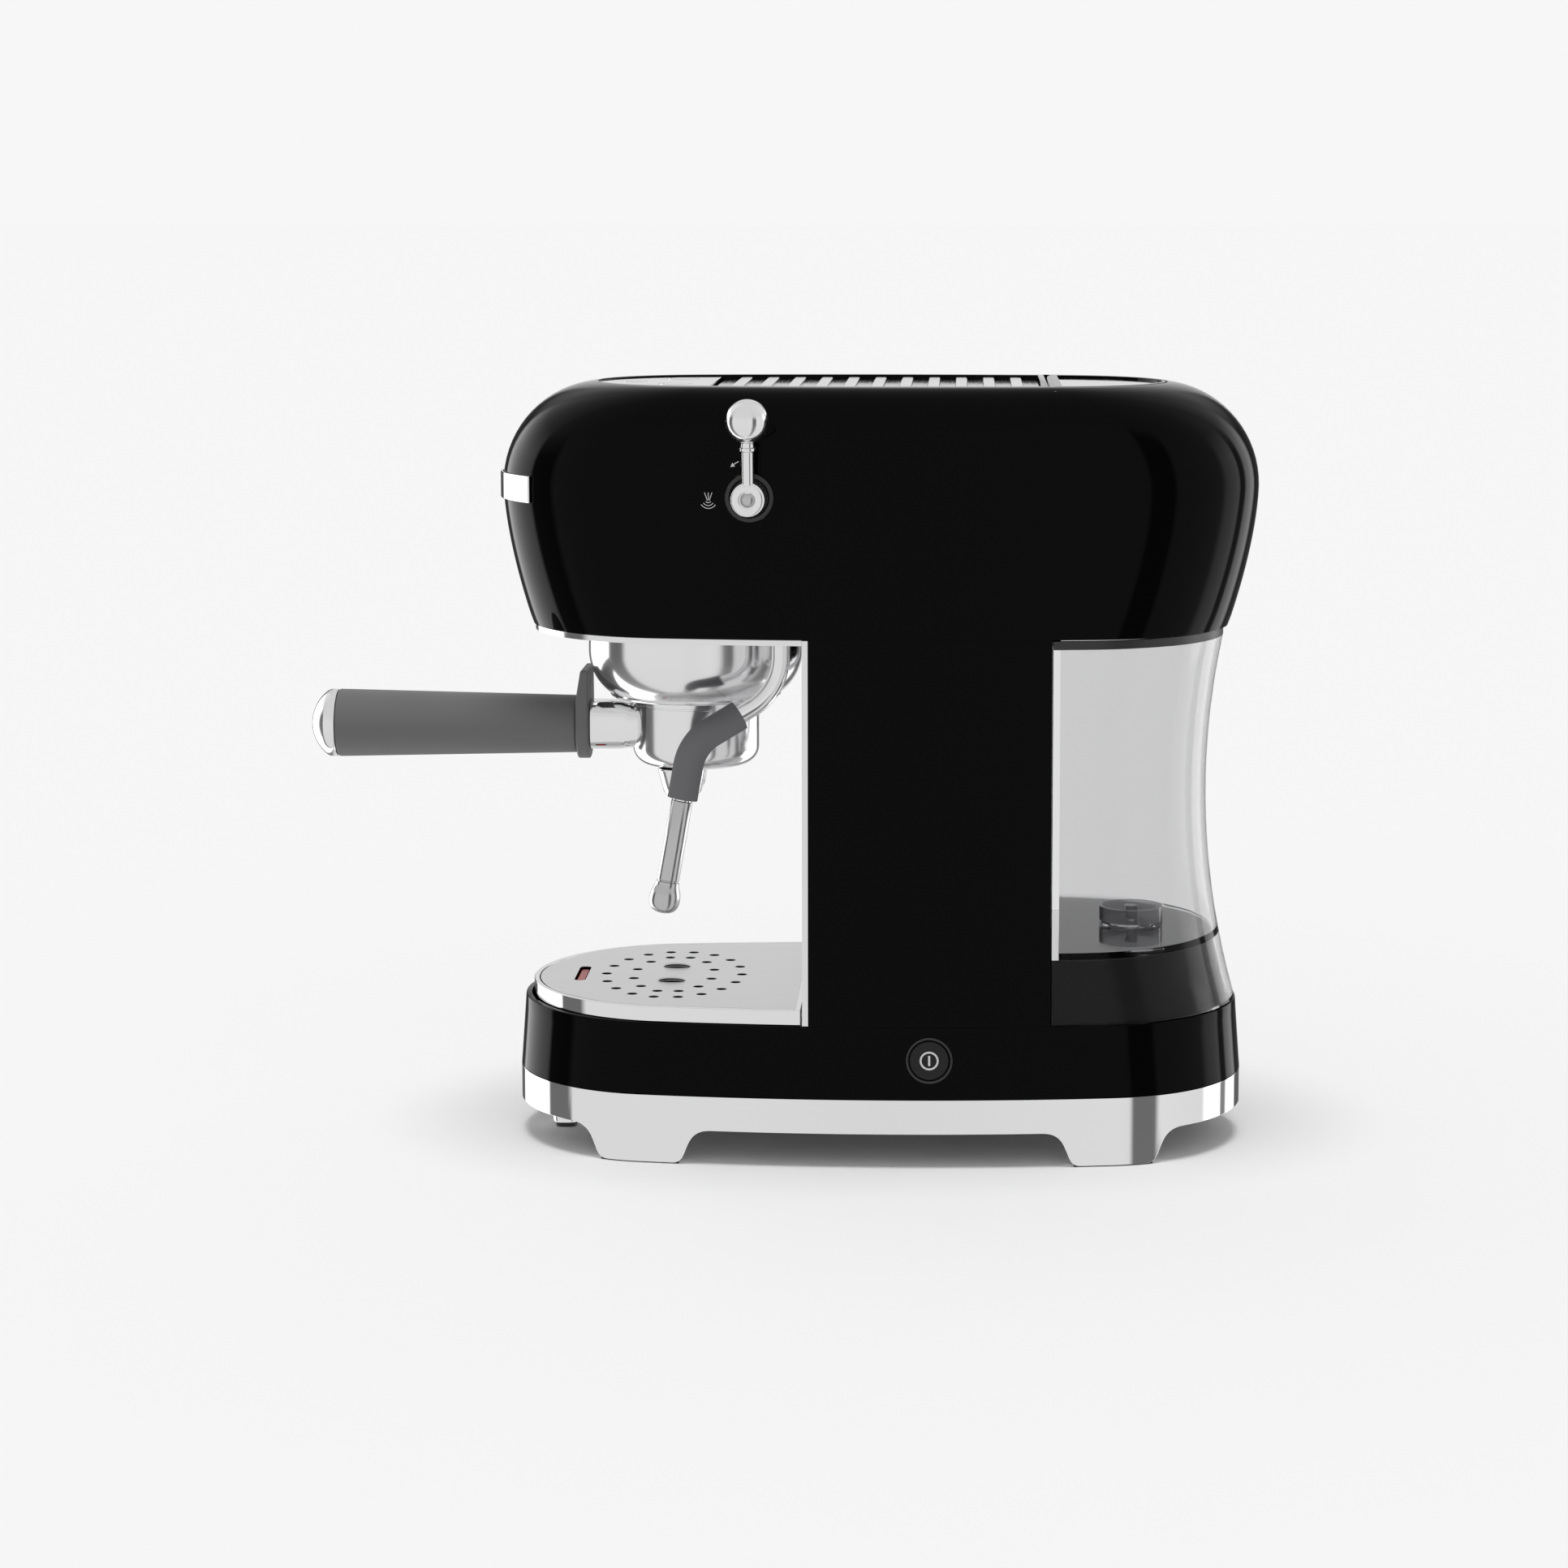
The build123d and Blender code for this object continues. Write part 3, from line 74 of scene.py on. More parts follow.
@dataclass(frozen=True)
class Finish:
    """One surface finish, made into a node material once and then shared.

    Args:
        name: the material's name
        slot: the record's material slot, not used here
        colour: linear base colour
        roughness: lowest roughness on the surface
        spread: how much rougher its dullest spots are
        metallic: 1 on bare metal
        specular: strength of the reflection of a non-metal
        transmission: 1 on clear plastic
        ior: index of refraction
        texture: what it shows close up
        fineness: pattern repeats per metre
        relief: height of the pattern in millimetres
        mottle: share by which the colour varies
    """

    name: str
    slot: str
    colour: tuple[float, float, float]
    roughness: float
    spread: float = 0.03
    metallic: float = 0.0
    specular: float = 0.5
    transmission: float = 0.0
    ior: float = 1.5
    texture: Texture = Texture.POLISHED
    fineness: float = 60.0
    relief: float = 0.0
    mottle: float = 0.0

    def material(self) -> bpy.types.Material:
        """Returns the finish's material, made on first use."""
        made = bpy.data.materials.get(self.name)
        if made is not None:
            return made
        made = bpy.data.materials.new(self.name)
        made.use_nodes = True
        nodes, links = made.node_tree.nodes, made.node_tree.links
        shader = nodes["Principled BSDF"]
        shader.inputs["Base Color"].default_value = (*self.colour, 1.0)
        shader.inputs["Metallic"].default_value = self.metallic
        shader.inputs["Specular IOR Level"].default_value = self.specular
        shader.inputs["Transmission Weight"].default_value = self.transmission
        shader.inputs["IOR"].default_value = self.ior
        place = nodes.new("ShaderNodeTexCoord")
        mapping = nodes.new("ShaderNodeMapping")
        mapping.inputs["Scale"].default_value = STRETCH.get(self.texture, (1.0, 1.0, 1.0))
        links.new(place.outputs["Object"], mapping.inputs["Vector"])
        self._vary_roughness(made, mapping, shader)
        if self.relief:
            self._raise_pattern(made, mapping, shader)
        if self.mottle:
            self._mottle_colour(made, place, shader)
        return made

    def _noise(
        self, made: bpy.types.Material, source: bpy.types.Node, scale: float, detail: float
    ) -> bpy.types.Node:
        """Adds a noise pattern on object coordinates and returns its node."""
        noise = made.node_tree.nodes.new("ShaderNodeTexNoise")
        noise.inputs["Scale"].default_value = scale
        noise.inputs["Detail"].default_value = detail
        output = "Object" if source.bl_idname == "ShaderNodeTexCoord" else "Vector"
        made.node_tree.links.new(source.outputs[output], noise.inputs["Vector"])
        return noise

    def _vary_roughness(
        self, made: bpy.types.Material, mapping: bpy.types.Node, shader: bpy.types.Node
    ) -> None:
        """Makes the surface a little duller in places."""
        smudged = self.texture in (Texture.SMUDGED, Texture.POLISHED)
        noise = self._noise(made, mapping, 22.0 if smudged else self.fineness, 4.0)
        spread = made.node_tree.nodes.new("ShaderNodeMapRange")
        spread.inputs["From Min"].default_value = 0.35
        spread.inputs["From Max"].default_value = 0.75
        spread.inputs["To Min"].default_value = self.roughness
        spread.inputs["To Max"].default_value = self.roughness + self.spread
        made.node_tree.links.new(noise.outputs["Fac"], spread.inputs["Value"])
        made.node_tree.links.new(spread.outputs["Result"], shader.inputs["Roughness"])

    def _raise_pattern(
        self, made: bpy.types.Material, mapping: bpy.types.Node, shader: bpy.types.Node
    ) -> None:
        """Adds the fine relief of the pattern."""
        noise = self._noise(made, mapping, self.fineness, 3.0)
        bump = made.node_tree.nodes.new("ShaderNodeBump")
        bump.inputs["Strength"].default_value = 1.0
        bump.inputs["Distance"].default_value = self.relief * MM
        made.node_tree.links.new(noise.outputs["Fac"], bump.inputs["Height"])
        made.node_tree.links.new(bump.outputs["Normal"], shader.inputs["Normal"])

    def _mottle_colour(
        self, made: bpy.types.Material, place: bpy.types.Node, shader: bpy.types.Node
    ) -> None:
        """Varies the colour softly over the surface."""
        noise = self._noise(made, place, 35.0, 5.0)
        mix = made.node_tree.nodes.new("ShaderNodeMix")
        mix.data_type = "RGBA"
        dark = tuple(c * (1.0 - self.mottle) for c in self.colour)
        light = tuple(min(1.0, c * (1.0 + self.mottle)) for c in self.colour)
        mix.inputs["A"].default_value = (*dark, 1.0)
        mix.inputs["B"].default_value = (*light, 1.0)
        made.node_tree.links.new(noise.outputs["Fac"], mix.inputs["Factor"])
        made.node_tree.links.new(mix.outputs["Result"], shader.inputs["Base Color"])


BLACK_GLOSS = Finish(
    "black_gloss_shell", "black_gloss", (0.0012, 0.0012, 0.0014), 0.035, 0.03,
    specular=0.06, fineness=260.0, relief=0.0006,
)
BLACK_MATTE = Finish(
    "black_moulding", "black_matte", (0.012, 0.012, 0.013), 0.42, 0.12,
    texture=Texture.MOULDED, fineness=1800.0, relief=0.02, mottle=0.15,
)
BLACK_DEEP = Finish(
    "black_pedestal", "black_matte", (0.003, 0.003, 0.0032), 0.45, 0.12,
    specular=0.08, texture=Texture.MOULDED, fineness=1500.0, relief=0.01, mottle=0.15,
)
BLACK_SATIN = Finish(
    "black_switch_cap", "dark_grey_plastic", (0.006, 0.006, 0.0065), 0.25, 0.08,
    specular=0.3, texture=Texture.MOULDED, fineness=1500.0, relief=0.004, mottle=0.1,
)
DARK_GREY = Finish(
    "dark_grey_moulding", "dark_grey_plastic", (0.018, 0.018, 0.02), 0.3, 0.1,
    texture=Texture.MOULDED, fineness=1500.0, relief=0.008, mottle=0.12,
)
GREY_GRIP = Finish(
    "soft_grey_grip", "grey_grip", (0.15, 0.15, 0.152), 0.46, 0.1,
    specular=0.35, texture=Texture.GRAINED, fineness=1600.0, relief=0.012, mottle=0.06,
)
GREY_RUBBER = Finish(
    "grey_rubber", "grey_rubber", (0.15, 0.15, 0.152), 0.5, 0.12,
    specular=0.35, texture=Texture.GRAINED, fineness=1400.0, relief=0.012, mottle=0.06,
)
BLACK_RUBBER = Finish(
    "black_rubber_part", "black_rubber", (0.012, 0.012, 0.012), 0.65, 0.15,
    texture=Texture.GRAINED, fineness=1300.0, relief=0.02, mottle=0.2,
)
CLEAR = Finish(
    "clear_tank_wall", "clear_tank", (0.8, 0.8, 0.805), 0.015, 0.03, transmission=1.0, ior=1.2,
)
SMOKE = Finish(
    "smoke_clear_part", "dark_grey_plastic", (0.6, 0.6, 0.62), 0.06, 0.06,
    transmission=0.9, ior=1.45,
)
RED = Finish(
    "red_float", "red_plastic", (0.5, 0.012, 0.01), 0.25, 0.1, mottle=0.08,
)
CHROME = Finish(
    "chrome_plate", "chrome", (0.86, 0.86, 0.865), 0.03, 0.045, metallic=1.0,
    texture=Texture.SMUDGED,
)
SOFT_CHROME = Finish(
    "soft_chrome_plate", "chrome", (0.86, 0.86, 0.865), 0.13, 0.06, metallic=1.0,
    texture=Texture.SMUDGED, fineness=900.0, relief=0.0004,
)
# Steel darkened to 0.55, where polished steel is 0.83: a painted dark reflection on the wand's nozzle
# and the lever's hub plug.
STEEL_PAINTED_DARK_REFLECTION = Finish(
    "steel_painted_dark_reflection", "chrome", (0.55, 0.55, 0.555), 0.16, 0.06, metallic=1.0,
    texture=Texture.BRUSHED_Z, fineness=1500.0, relief=0.0006,
)
POLISHED = Finish(
    "polished_steel_sheet", "polished_steel", (0.83, 0.83, 0.835), 0.09, 0.06, metallic=1.0,
    texture=Texture.BRUSHED_X, fineness=1500.0, relief=0.0006,
)
POLISHED_UPRIGHT = Finish(
    "polished_steel_panel", "polished_steel", (0.83, 0.83, 0.835), 0.08, 0.06, metallic=1.0,
    texture=Texture.BRUSHED_Z, fineness=1500.0, relief=0.0006,
)
# Near-black steel for the tray's bowl: painted shade, so the grid's holes read dark; the bowl's own
# steel is bright.
TRAY_BOWL_PAINTED_SHADE = Finish(
    "tray_bowl_painted_shade", "polished_steel", (0.02, 0.02, 0.021), 0.45, 0.1, metallic=1.0,
    texture=Texture.BRUSHED_X, fineness=900.0, relief=0.001,
)
SATIN = Finish(
    "satin_steel_grid", "satin_steel", (0.78, 0.78, 0.785), 0.3, 0.1, metallic=1.0,
    texture=Texture.BRUSHED_Y, fineness=1600.0, relief=0.002,
)
ZINC = Finish(
    "zinc_steel_part", "zinc_steel", (0.55, 0.56, 0.58), 0.28, 0.14, metallic=1.0,
    texture=Texture.GRAINED, fineness=500.0, relief=0.006, mottle=0.06,
)
CAST = Finish(
    "cast_aluminium_block", "cast_aluminium", (0.55, 0.55, 0.56), 0.45, 0.15, metallic=1.0,
    texture=Texture.GRAINED, fineness=700.0, relief=0.05, mottle=0.08,
)
BRASS = Finish(
    "machined_brass", "brass", (0.72, 0.52, 0.22), 0.2, 0.12, metallic=1.0,
    texture=Texture.SMUDGED, mottle=0.05,
)
BOARD = Finish(
    "green_board", "board_green", (0.015, 0.12, 0.05), 0.35, 0.1, mottle=0.1,
)
PRINT = Finish(
    "white_print", "dark_grey_plastic", (0.72, 0.72, 0.72), 0.5, 0.1, mottle=0.03,
)


# ---- Modelling tools ----
def clear_selection() -> None:
    """Goes to object mode with nothing selected."""
    if bpy.context.mode != "OBJECT":
        bpy.ops.object.mode_set(mode="OBJECT")
    bpy.ops.object.select_all(action="DESELECT")


def activate(piece: bpy.types.Object) -> None:
    """Selects one piece alone and makes it active."""
    clear_selection()
    piece.select_set(True)
    bpy.context.view_layer.objects.active = piece


def edit_all(piece: bpy.types.Object) -> None:
    """Opens a piece in edit mode with its whole mesh selected."""
    activate(piece)
    bpy.ops.object.mode_set(mode="EDIT")
    bpy.ops.mesh.select_all(action="SELECT")


def apply_modifiers(piece: bpy.types.Object) -> None:
    """Applies every modifier of a piece."""
    activate(piece)
    for modifier in list(piece.modifiers):
        bpy.ops.object.modifier_apply(modifier=modifier.name)


def shade(piece: bpy.types.Object, angle: float = 38.0) -> None:
    """Shades a piece smooth, with sharp edges above an angle in degrees."""
    activate(piece)
    bpy.ops.object.shade_smooth_by_angle(angle=math.radians(angle))


def weigh_normals(piece: bpy.types.Object) -> None:
    """Keeps flat faces flat next to rounded edges."""
    weighted = piece.modifiers.new("weighted", "WEIGHTED_NORMAL")
    weighted.keep_sharp = True
    apply_modifiers(piece)


def round_edges(
    piece: bpy.types.Object, width: float, segments: int = 3, angle: float = 40.0
) -> None:
    """Rounds every edge sharper than an angle.

    Args:
        piece: the mesh to round
        width: bevel width in millimetres
        segments: faces across each rounding
        angle: smallest edge angle in degrees
    """
    bevel = piece.modifiers.new("rounding", "BEVEL")
    bevel.width = width * MM
    bevel.segments = segments
    bevel.limit_method = "ANGLE"
    bevel.angle_limit = math.radians(angle)
    bevel.miter_outer = "MITER_ARC"
    bevel.use_clamp_overlap = True
    apply_modifiers(piece)


def refined(
    node: str, name: str, width: float, segments: int = 3, angle: float = 40.0
) -> bpy.types.Object:
    """Copies a CAD node's mesh, merges its loose triangles and rounds its edges.

    Args:
        node: the CAD node
        name: the new piece's name
        width: bevel width in millimetres
        segments: faces across each rounding
        angle: smallest edge angle in degrees

    Returns:
        The new piece.
    """
    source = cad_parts[node]
    piece = bpy.data.objects.new(name, source.data.copy())
    piece.data.name = name
    bpy.context.scene.collection.objects.link(piece)
    activate(piece)
    if piece.data.has_custom_normals:
        bpy.ops.mesh.customdata_custom_splitnormals_clear()
    edit_all(piece)
    bpy.ops.mesh.remove_doubles(threshold=MERGE)
    bpy.ops.mesh.dissolve_limited(angle_limit=math.radians(0.05))
    bpy.ops.object.mode_set(mode="OBJECT")
    round_edges(piece, width, segments, angle)
    shade(piece)
    weigh_normals(piece)
    return piece


def from_rings(
    name: str, rings: Sequence[Sequence[Vector]], capped: bool = True, closed_up: bool = False
) -> bpy.types.Object:
    """Skins a stack of matching rings with quads.

    Args:
        name: the new piece's name
        rings: rings of points in millimetres, each running the same way round
        capped: whether the first and last rings are filled
        closed_up: whether the last ring joins back to the first

    Returns:
        The new piece.
    """
    shape = bmesh.new()
    made = [[shape.verts.new(p * MM) for p in ring] for ring in rings]
    pairs = list(zip(made, made[1:]))
    if closed_up:
        pairs.append((made[-1], made[0]))
    for low, high in pairs:
        for i in range(len(low)):
            j = (i + 1) % len(low)
            shape.faces.new((low[i], low[j], high[j], high[i]))
    if capped and not closed_up:
        shape.faces.new(tuple(reversed(made[0])))
        shape.faces.new(tuple(made[-1]))
    bmesh.ops.recalc_face_normals(shape, faces=shape.faces)
    mesh = bpy.data.meshes.new(name)
    shape.to_mesh(mesh)
    shape.free()
    piece = bpy.data.objects.new(name, mesh)
    bpy.context.scene.collection.objects.link(piece)
    return piece


def turned(
    name: str,
    profile: Sequence[Flat],
    origin: tuple[float, float, float],
    along: tuple[float, float, float] = (0.0, 0.0, 1.0),
    steps: int = 96,
    looped: bool = False,
) -> bpy.types.Object:
    """Spins a profile about an axis, as on a lathe.

    Args:
        name: the new piece's name
        profile: (radius, height) points in millimetres
        origin: a point on the axis, where the height is 0, in millimetres
        along: the axis's direction
        steps: faces round the axis
        looped: whether the profile closes on itself

    Returns:
        The new piece, shaded smooth.
    """
    clear_selection()
    bpy.ops.mesh.primitive_plane_add(size=MM)
    piece = bpy.context.active_object
    piece.name = piece.data.name = name
    bpy.ops.object.mode_set(mode="EDIT")
    bpy.ops.mesh.select_all(action="SELECT")
    bpy.ops.mesh.merge(type="CENTER")
    points = [Vector((radius, 0.0, height)) * MM for radius, height in profile]
    bpy.ops.transform.translate(value=points[0])
    if looped:
        points.append(points[0])
    for here, there in zip(points, points[1:]):
        bpy.ops.mesh.extrude_region_move(TRANSFORM_OT_translate={"value": there - here})
    bpy.ops.mesh.select_all(action="SELECT")
    bpy.ops.mesh.remove_doubles(threshold=MERGE)
    bpy.ops.mesh.spin(steps=steps, angle=math.tau, center=(0, 0, 0), axis=(0, 0, 1))
    bpy.ops.mesh.select_all(action="SELECT")
    bpy.ops.mesh.remove_doubles(threshold=MERGE)
    bpy.ops.mesh.normals_make_consistent(inside=False)
    bpy.ops.object.mode_set(mode="OBJECT")
    turn = Vector((0.0, 0.0, 1.0)).rotation_difference(Vector(along)).to_matrix().to_4x4()
    piece.data.transform(Matrix.Translation(Vector(origin) * MM) @ turn)
    shade(piece)
    return piece


def arc(
    centre: Flat, radius: float, start: float, end: float, count: int = 8
) -> list[Flat]:
    """Points on an arc of a profile, from one angle in degrees to another."""
    turns = [math.radians(start + (end - start) * i / count) for i in range(count + 1)]
    return [(centre[0] + radius * math.cos(t), centre[1] + radius * math.sin(t)) for t in turns]


def bar(
    name: str, start: tuple, end: tuple, radius: float, steps: int = 48
) -> bpy.types.Object:
    """Plain round bar between two points in millimetres, for cutting holes."""
    along = Vector(end) - Vector(start)
    profile = [(0.0, 0.0), (radius, 0.0), (radius, along.length), (0.0, along.length)]
    return turned(name, profile, start, tuple(along.normalized()), steps)


def cut(piece: bpy.types.Object, *cutters: bpy.types.Object) -> None:
    """Takes the cutters out of a piece and removes them."""
    for cutter in cutters:
        difference = piece.modifiers.new("cut", "BOOLEAN")
        difference.operation = "DIFFERENCE"
        difference.solver = "EXACT"
        difference.object = cutter
        apply_modifiers(piece)
        bpy.data.objects.remove(cutter)


def joined(name: str, parts: Sequence[bpy.types.Object]) -> bpy.types.Object:
    """Makes several meshes one piece."""
    activate(parts[0])
    for part in parts[1:]:
        part.select_set(True)
    bpy.ops.object.join()
    parts[0].name = parts[0].data.name = name
    return parts[0]


def swept(
    name: str, route: Sequence[Vector], radius: float, sides: int = 16
) -> bpy.types.Object:
    """Carries a circle along a route.

    Args:
        name: the new piece's name
        route: points in millimetres, close together where it bends
        radius: the tube's radius
        sides: a quarter of the faces round the tube

    Returns:
        The new piece, shaded smooth.
    """
    clear_selection()
    line = bpy.data.curves.new(name, "CURVE")
    line.dimensions = "3D"
    line.bevel_depth = radius * MM
    line.bevel_resolution = sides
    line.use_fill_caps = True
    spline = line.splines.new("POLY")
    spline.points.add(len(route) - 1)
    for point, place in zip(spline.points, route):
        point.co = (*(place * MM), 1.0)
    piece = bpy.data.objects.new(name, line)
    bpy.context.scene.collection.objects.link(piece)
    activate(piece)
    bpy.ops.object.convert(target="MESH")
    piece = bpy.context.active_object
    piece.name = piece.data.name = name
    edit_all(piece)
    bpy.ops.mesh.remove_doubles(threshold=MERGE)
    bpy.ops.mesh.normals_make_consistent(inside=False)
    bpy.ops.object.mode_set(mode="OBJECT")
    shade(piece)
    return piece


def bent_route(
    corners: Sequence[Vector], radii: Sequence[float], step: float = 5.0
) -> list[Vector]:
    """Straight runs joined by tangent arcs.

    Args:
        corners: the route's corners in millimetres
        radii: one bend radius for each inner corner
        step: degrees of bend between points

    Returns:
        Points along the route.
    """
    points = [corners[0]]
    for before, corner, after, radius in zip(corners, corners[1:], corners[2:], radii):
        inward, outward = (before - corner).normalized(), (after - corner).normalized()
        turn = math.pi - inward.angle(outward)
        reach = radius * math.tan(turn / 2)
        middle = corner + (inward + outward).normalized() * radius / math.cos(turn / 2)
        first = corner + inward * reach - middle
        axis = first.cross(corner + outward * reach - middle).normalized()
        count = max(2, round(math.degrees(turn) / step))
        for i in range(count + 1):
            points.append(middle + Matrix.Rotation(turn * i / count, 3, axis) @ first)
    points.append(corners[-1])
    return points


def dress(
    piece: bpy.types.Object, body: str, finish: Finish, *nodes: str
) -> bpy.types.Object:
    """Gives a new piece its finish, its body and the CAD nodes it stands for."""
    piece.data.materials.clear()
    piece.data.materials.append(finish.material())
    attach(piece, body)
    if nodes:
        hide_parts(*nodes)
    LOG.info("%s rides on %s, %d faces", piece.name, body, len(piece.data.polygons))
    return piece


def coat(finish: Finish, *nodes: str) -> None:
    """Gives CAD nodes a finish, and leaves their shape."""
    for node in nodes:
        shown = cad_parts[node]
        for held in shown.material_slots:
            held.material = finish.material()
        LOG.info("%s keeps its shape in %s", node, finish.name)


# ---- The body's outline ----
@dataclass(frozen=True)
class Oval:
    """Four tangent arcs, long axis along Y: the outline that the whole body shares."""

    half_length: float
    half_width: float = HALF_WIDTH
    side_radius: float = SIDE_RADIUS

    def inset(self, amount: float) -> "Oval":
        """The same outline moved inwards."""
        return Oval(
            self.half_length - amount, self.half_width - amount, self.side_radius - amount
        )

    def quarter(self, tip_steps: int, side_steps: int) -> list[Flat]:
        """Points from the middle of the +X side to the tip at +Y."""
        width, length, side = self.half_width, self.half_length, self.side_radius
        tip = (2 * width * side - width**2 - length**2) / (2 * (side - length))
        reach = tip / (side - tip)
        joint_y = (length - tip) * (1 + reach)
        joint = math.asin(joint_y / side)
        points = []
        for i in range(side_steps):
            turn = joint * i / side_steps
            points.append((width - side * (1 - math.cos(turn)), side * math.sin(turn)))
        for i in range(tip_steps + 1):
            turn = joint + (math.pi / 2 - joint) * i / tip_steps
            points.append((tip * math.cos(turn), length - tip + tip * math.sin(turn)))
        return points

    def ring(self, height: float, tip_steps: int = 26, side_steps: int = 24) -> list[Vector]:
        """The whole outline as a ring of points at a height."""
        rear = self.quarter(tip_steps, side_steps)
        right = [(x, -y) for x, y in reversed(rear[1:])] + rear
        left = [(-x, y) for x, y in reversed(right[1:-1])]
        return [Vector((x, y, height)) for x, y in right + left]

    def slice(self, height: float, low: float, high: float) -> list[Vector]:
        """The part of the outline between two Y values, closed by straight cuts, as a ring."""
        rear = self.quarter(60, 60)
        right = [(x, -y) for x, y in reversed(rear[1:])] + rear
        low, high = max(low, -self.half_length), min(high, self.half_length)
        kept = [self._at(right, low)] + [p for p in right if low < p[1] < high]
        kept.append(self._at(right, high))
        kept = [p for i, p in enumerate(kept) if i == 0 or abs(p[1] - kept[i - 1][1]) > 1e-4]
        left = [(-x, y) for x, y in reversed(kept) if x > 1e-6]
        return [Vector((x, y, height)) for x, y in kept + left]

    @staticmethod
    def _at(side: Sequence[Flat], y: float) -> Flat:
        """The point of an outline's side at a Y value."""
        for (x0, y0), (x1, y1) in zip(side, side[1:]):
            if y0 <= y <= y1:
                return (x0 + (x1 - x0) * (y - y0) / (y1 - y0), y)
        return side[0] if y < 0 else side[-1]


def plate(
    name: str, oval: Oval, low: float, high: float, from_y: float = -1e3, to_y: float = 1e3
) -> bpy.types.Object:
    """Slab with an oval outline between two heights, kept between two Y values."""
    if from_y < -oval.half_length and to_y > oval.half_length:
        return from_rings(name, [oval.ring(low), oval.ring(high)])
    return from_rings(name, [oval.slice(low, from_y, to_y), oval.slice(high, from_y, to_y)])


@dataclass(frozen=True)
class Shell:
    """Gloss black base, column and head, with flush sides."""

    base_low: float = 30.0
    base_high: float = 61.7
    base_length: float = 160.3
    deck_length: float = 158.0
    wall: float = 2.5
    column_front: float = -28.8
    column_rear: float = 74.4
    head_low: float = 227.7
    widest: float = 289.0
    shoulder: float = 312.0
    top: float = 334.0
    head_length: float = 166.0
    head_foot_length: float = 153.3
    crown_length: float = 122.0
    crown_width: float = 59.0
    rim_soften: float = 0.5
    pocket: Oval = Oval(124.0, 52.0)
    pocket_floor: float = 326.0
    pocket_rear: float = 69.8
    seat: Oval = Oval(125.6, 57.6)
    seat_front: float = 72.4

    def head_oval(self, height: float) -> Oval:
        """The head's outline at a height."""
        if height <= self.widest:
            share = (self.widest - height) / (self.widest - self.head_low)
            length = self.head_length - (self.head_length - self.head_foot_length) * share**1.6
        else:
            share = min(1.0, (height - self.widest) / (self.top - self.widest))
            spread = self.head_length - self.crown_length
            length = self.crown_length + spread * math.sqrt(1 - share**2)
        width = HALF_WIDTH
        if height > self.shoulder:
            share = min(1.0, (height - self.shoulder) / (self.top - self.shoulder))
            width = self.crown_width + (HALF_WIDTH - self.crown_width) * math.sqrt(1 - share**2)
        return Oval(length, width)

    def head(self) -> bpy.types.Object:
        """Builds the head with its top pocket, lid seat, chute and bearings."""
        low = [self.head_low + (self.widest - self.head_low) * i / 14 for i in range(15)]
        rise = self.top - self.widest
        high = [self.widest + rise * math.sin(math.radians(a)) for a in range(5, 84, 5)]
        levels = low + high + [333.55, 333.8]
        foot = self.head_oval(self.head_low)
        rings = [foot.inset(self.rim_soften).ring(self.head_low)]
        rings.append(foot.inset(0.15).ring(self.head_low + 0.15))
        rings += [self.head_oval(z).ring(z) for z in levels if z > self.head_low + 0.4]
        rings.append(Oval(125.2, 57.9).ring(self.top))
        head = from_rings("head_shell_gloss", rings)
        cut(
            head,
            self._well("pocket", self.pocket, self.pocket_floor, -1e3, self.pocket_rear),
            self._well("seat", self.seat, self.pocket_floor - 0.3, self.seat_front, 1e3),
            self._chute(),
            bar("lever_hole", (60, -53.5, 288), (80, -53.5, 288), 10.6, 64),
            bar("wand_hole", (48, -41.6, 220), (48, -41.6, 246), 9.3, 48),
            *[
                bar(f"stem_hole_{i}", (x, y, 316), (x, y, 327), 4.2, 32)
                for i, (x, y) in enumerate(((-22, -88.5), (0, -108), (22, -88.5)))
            ],
        )
        shade(head, 32)
        return head

    def _well(
        self, name: str, oval: Oval, floor: float, from_y: float, to_y: float
    ) -> bpy.types.Object:
        """Cutter for a pocket in the top, with a softened rim."""
        grow = self.rim_soften
        wide = Oval(oval.half_length + grow, oval.half_width + grow, oval.side_radius + grow)
        steps = [(oval, floor), (oval, self.top - grow)]
        steps += [(wide, self.top + 0.01), (wide, self.top + 4)]
        return from_rings(name, [shape.slice(z, from_y, to_y) for shape, z in steps])

    def _chute(self) -> bpy.types.Object:
        """Cutter for the filling chute through the head."""
        rings = []
        for z, size_x, size_y, middle in ((226, 44.6, 34.6, 104.9), (322.8, 56.4, 38.4, 98.1)):
            rings.append(rounded_box(size_x, size_y, 9.0, 0.0, middle, z))
        rings.append(rounded_box(51.9, 33.9, 9.0, 0.0, 98.0, 322.9))
        rings.append(rounded_box(51.9, 33.9, 9.0, 0.0, 98.0, 327.0))
        return from_rings("chute_way", rings)

    def column(self) -> bpy.types.Object:
        """Builds the column between the base and the head."""
        column = plate(
            "column_shell_gloss", Oval(self.deck_length), self.base_high - 0.05,
            self.head_low + 0.2, self.column_front, self.column_rear,
        )
        round_edges(column, 0.6, 3, 60)
        shade(column, 32)
        weigh_normals(column)
        return column

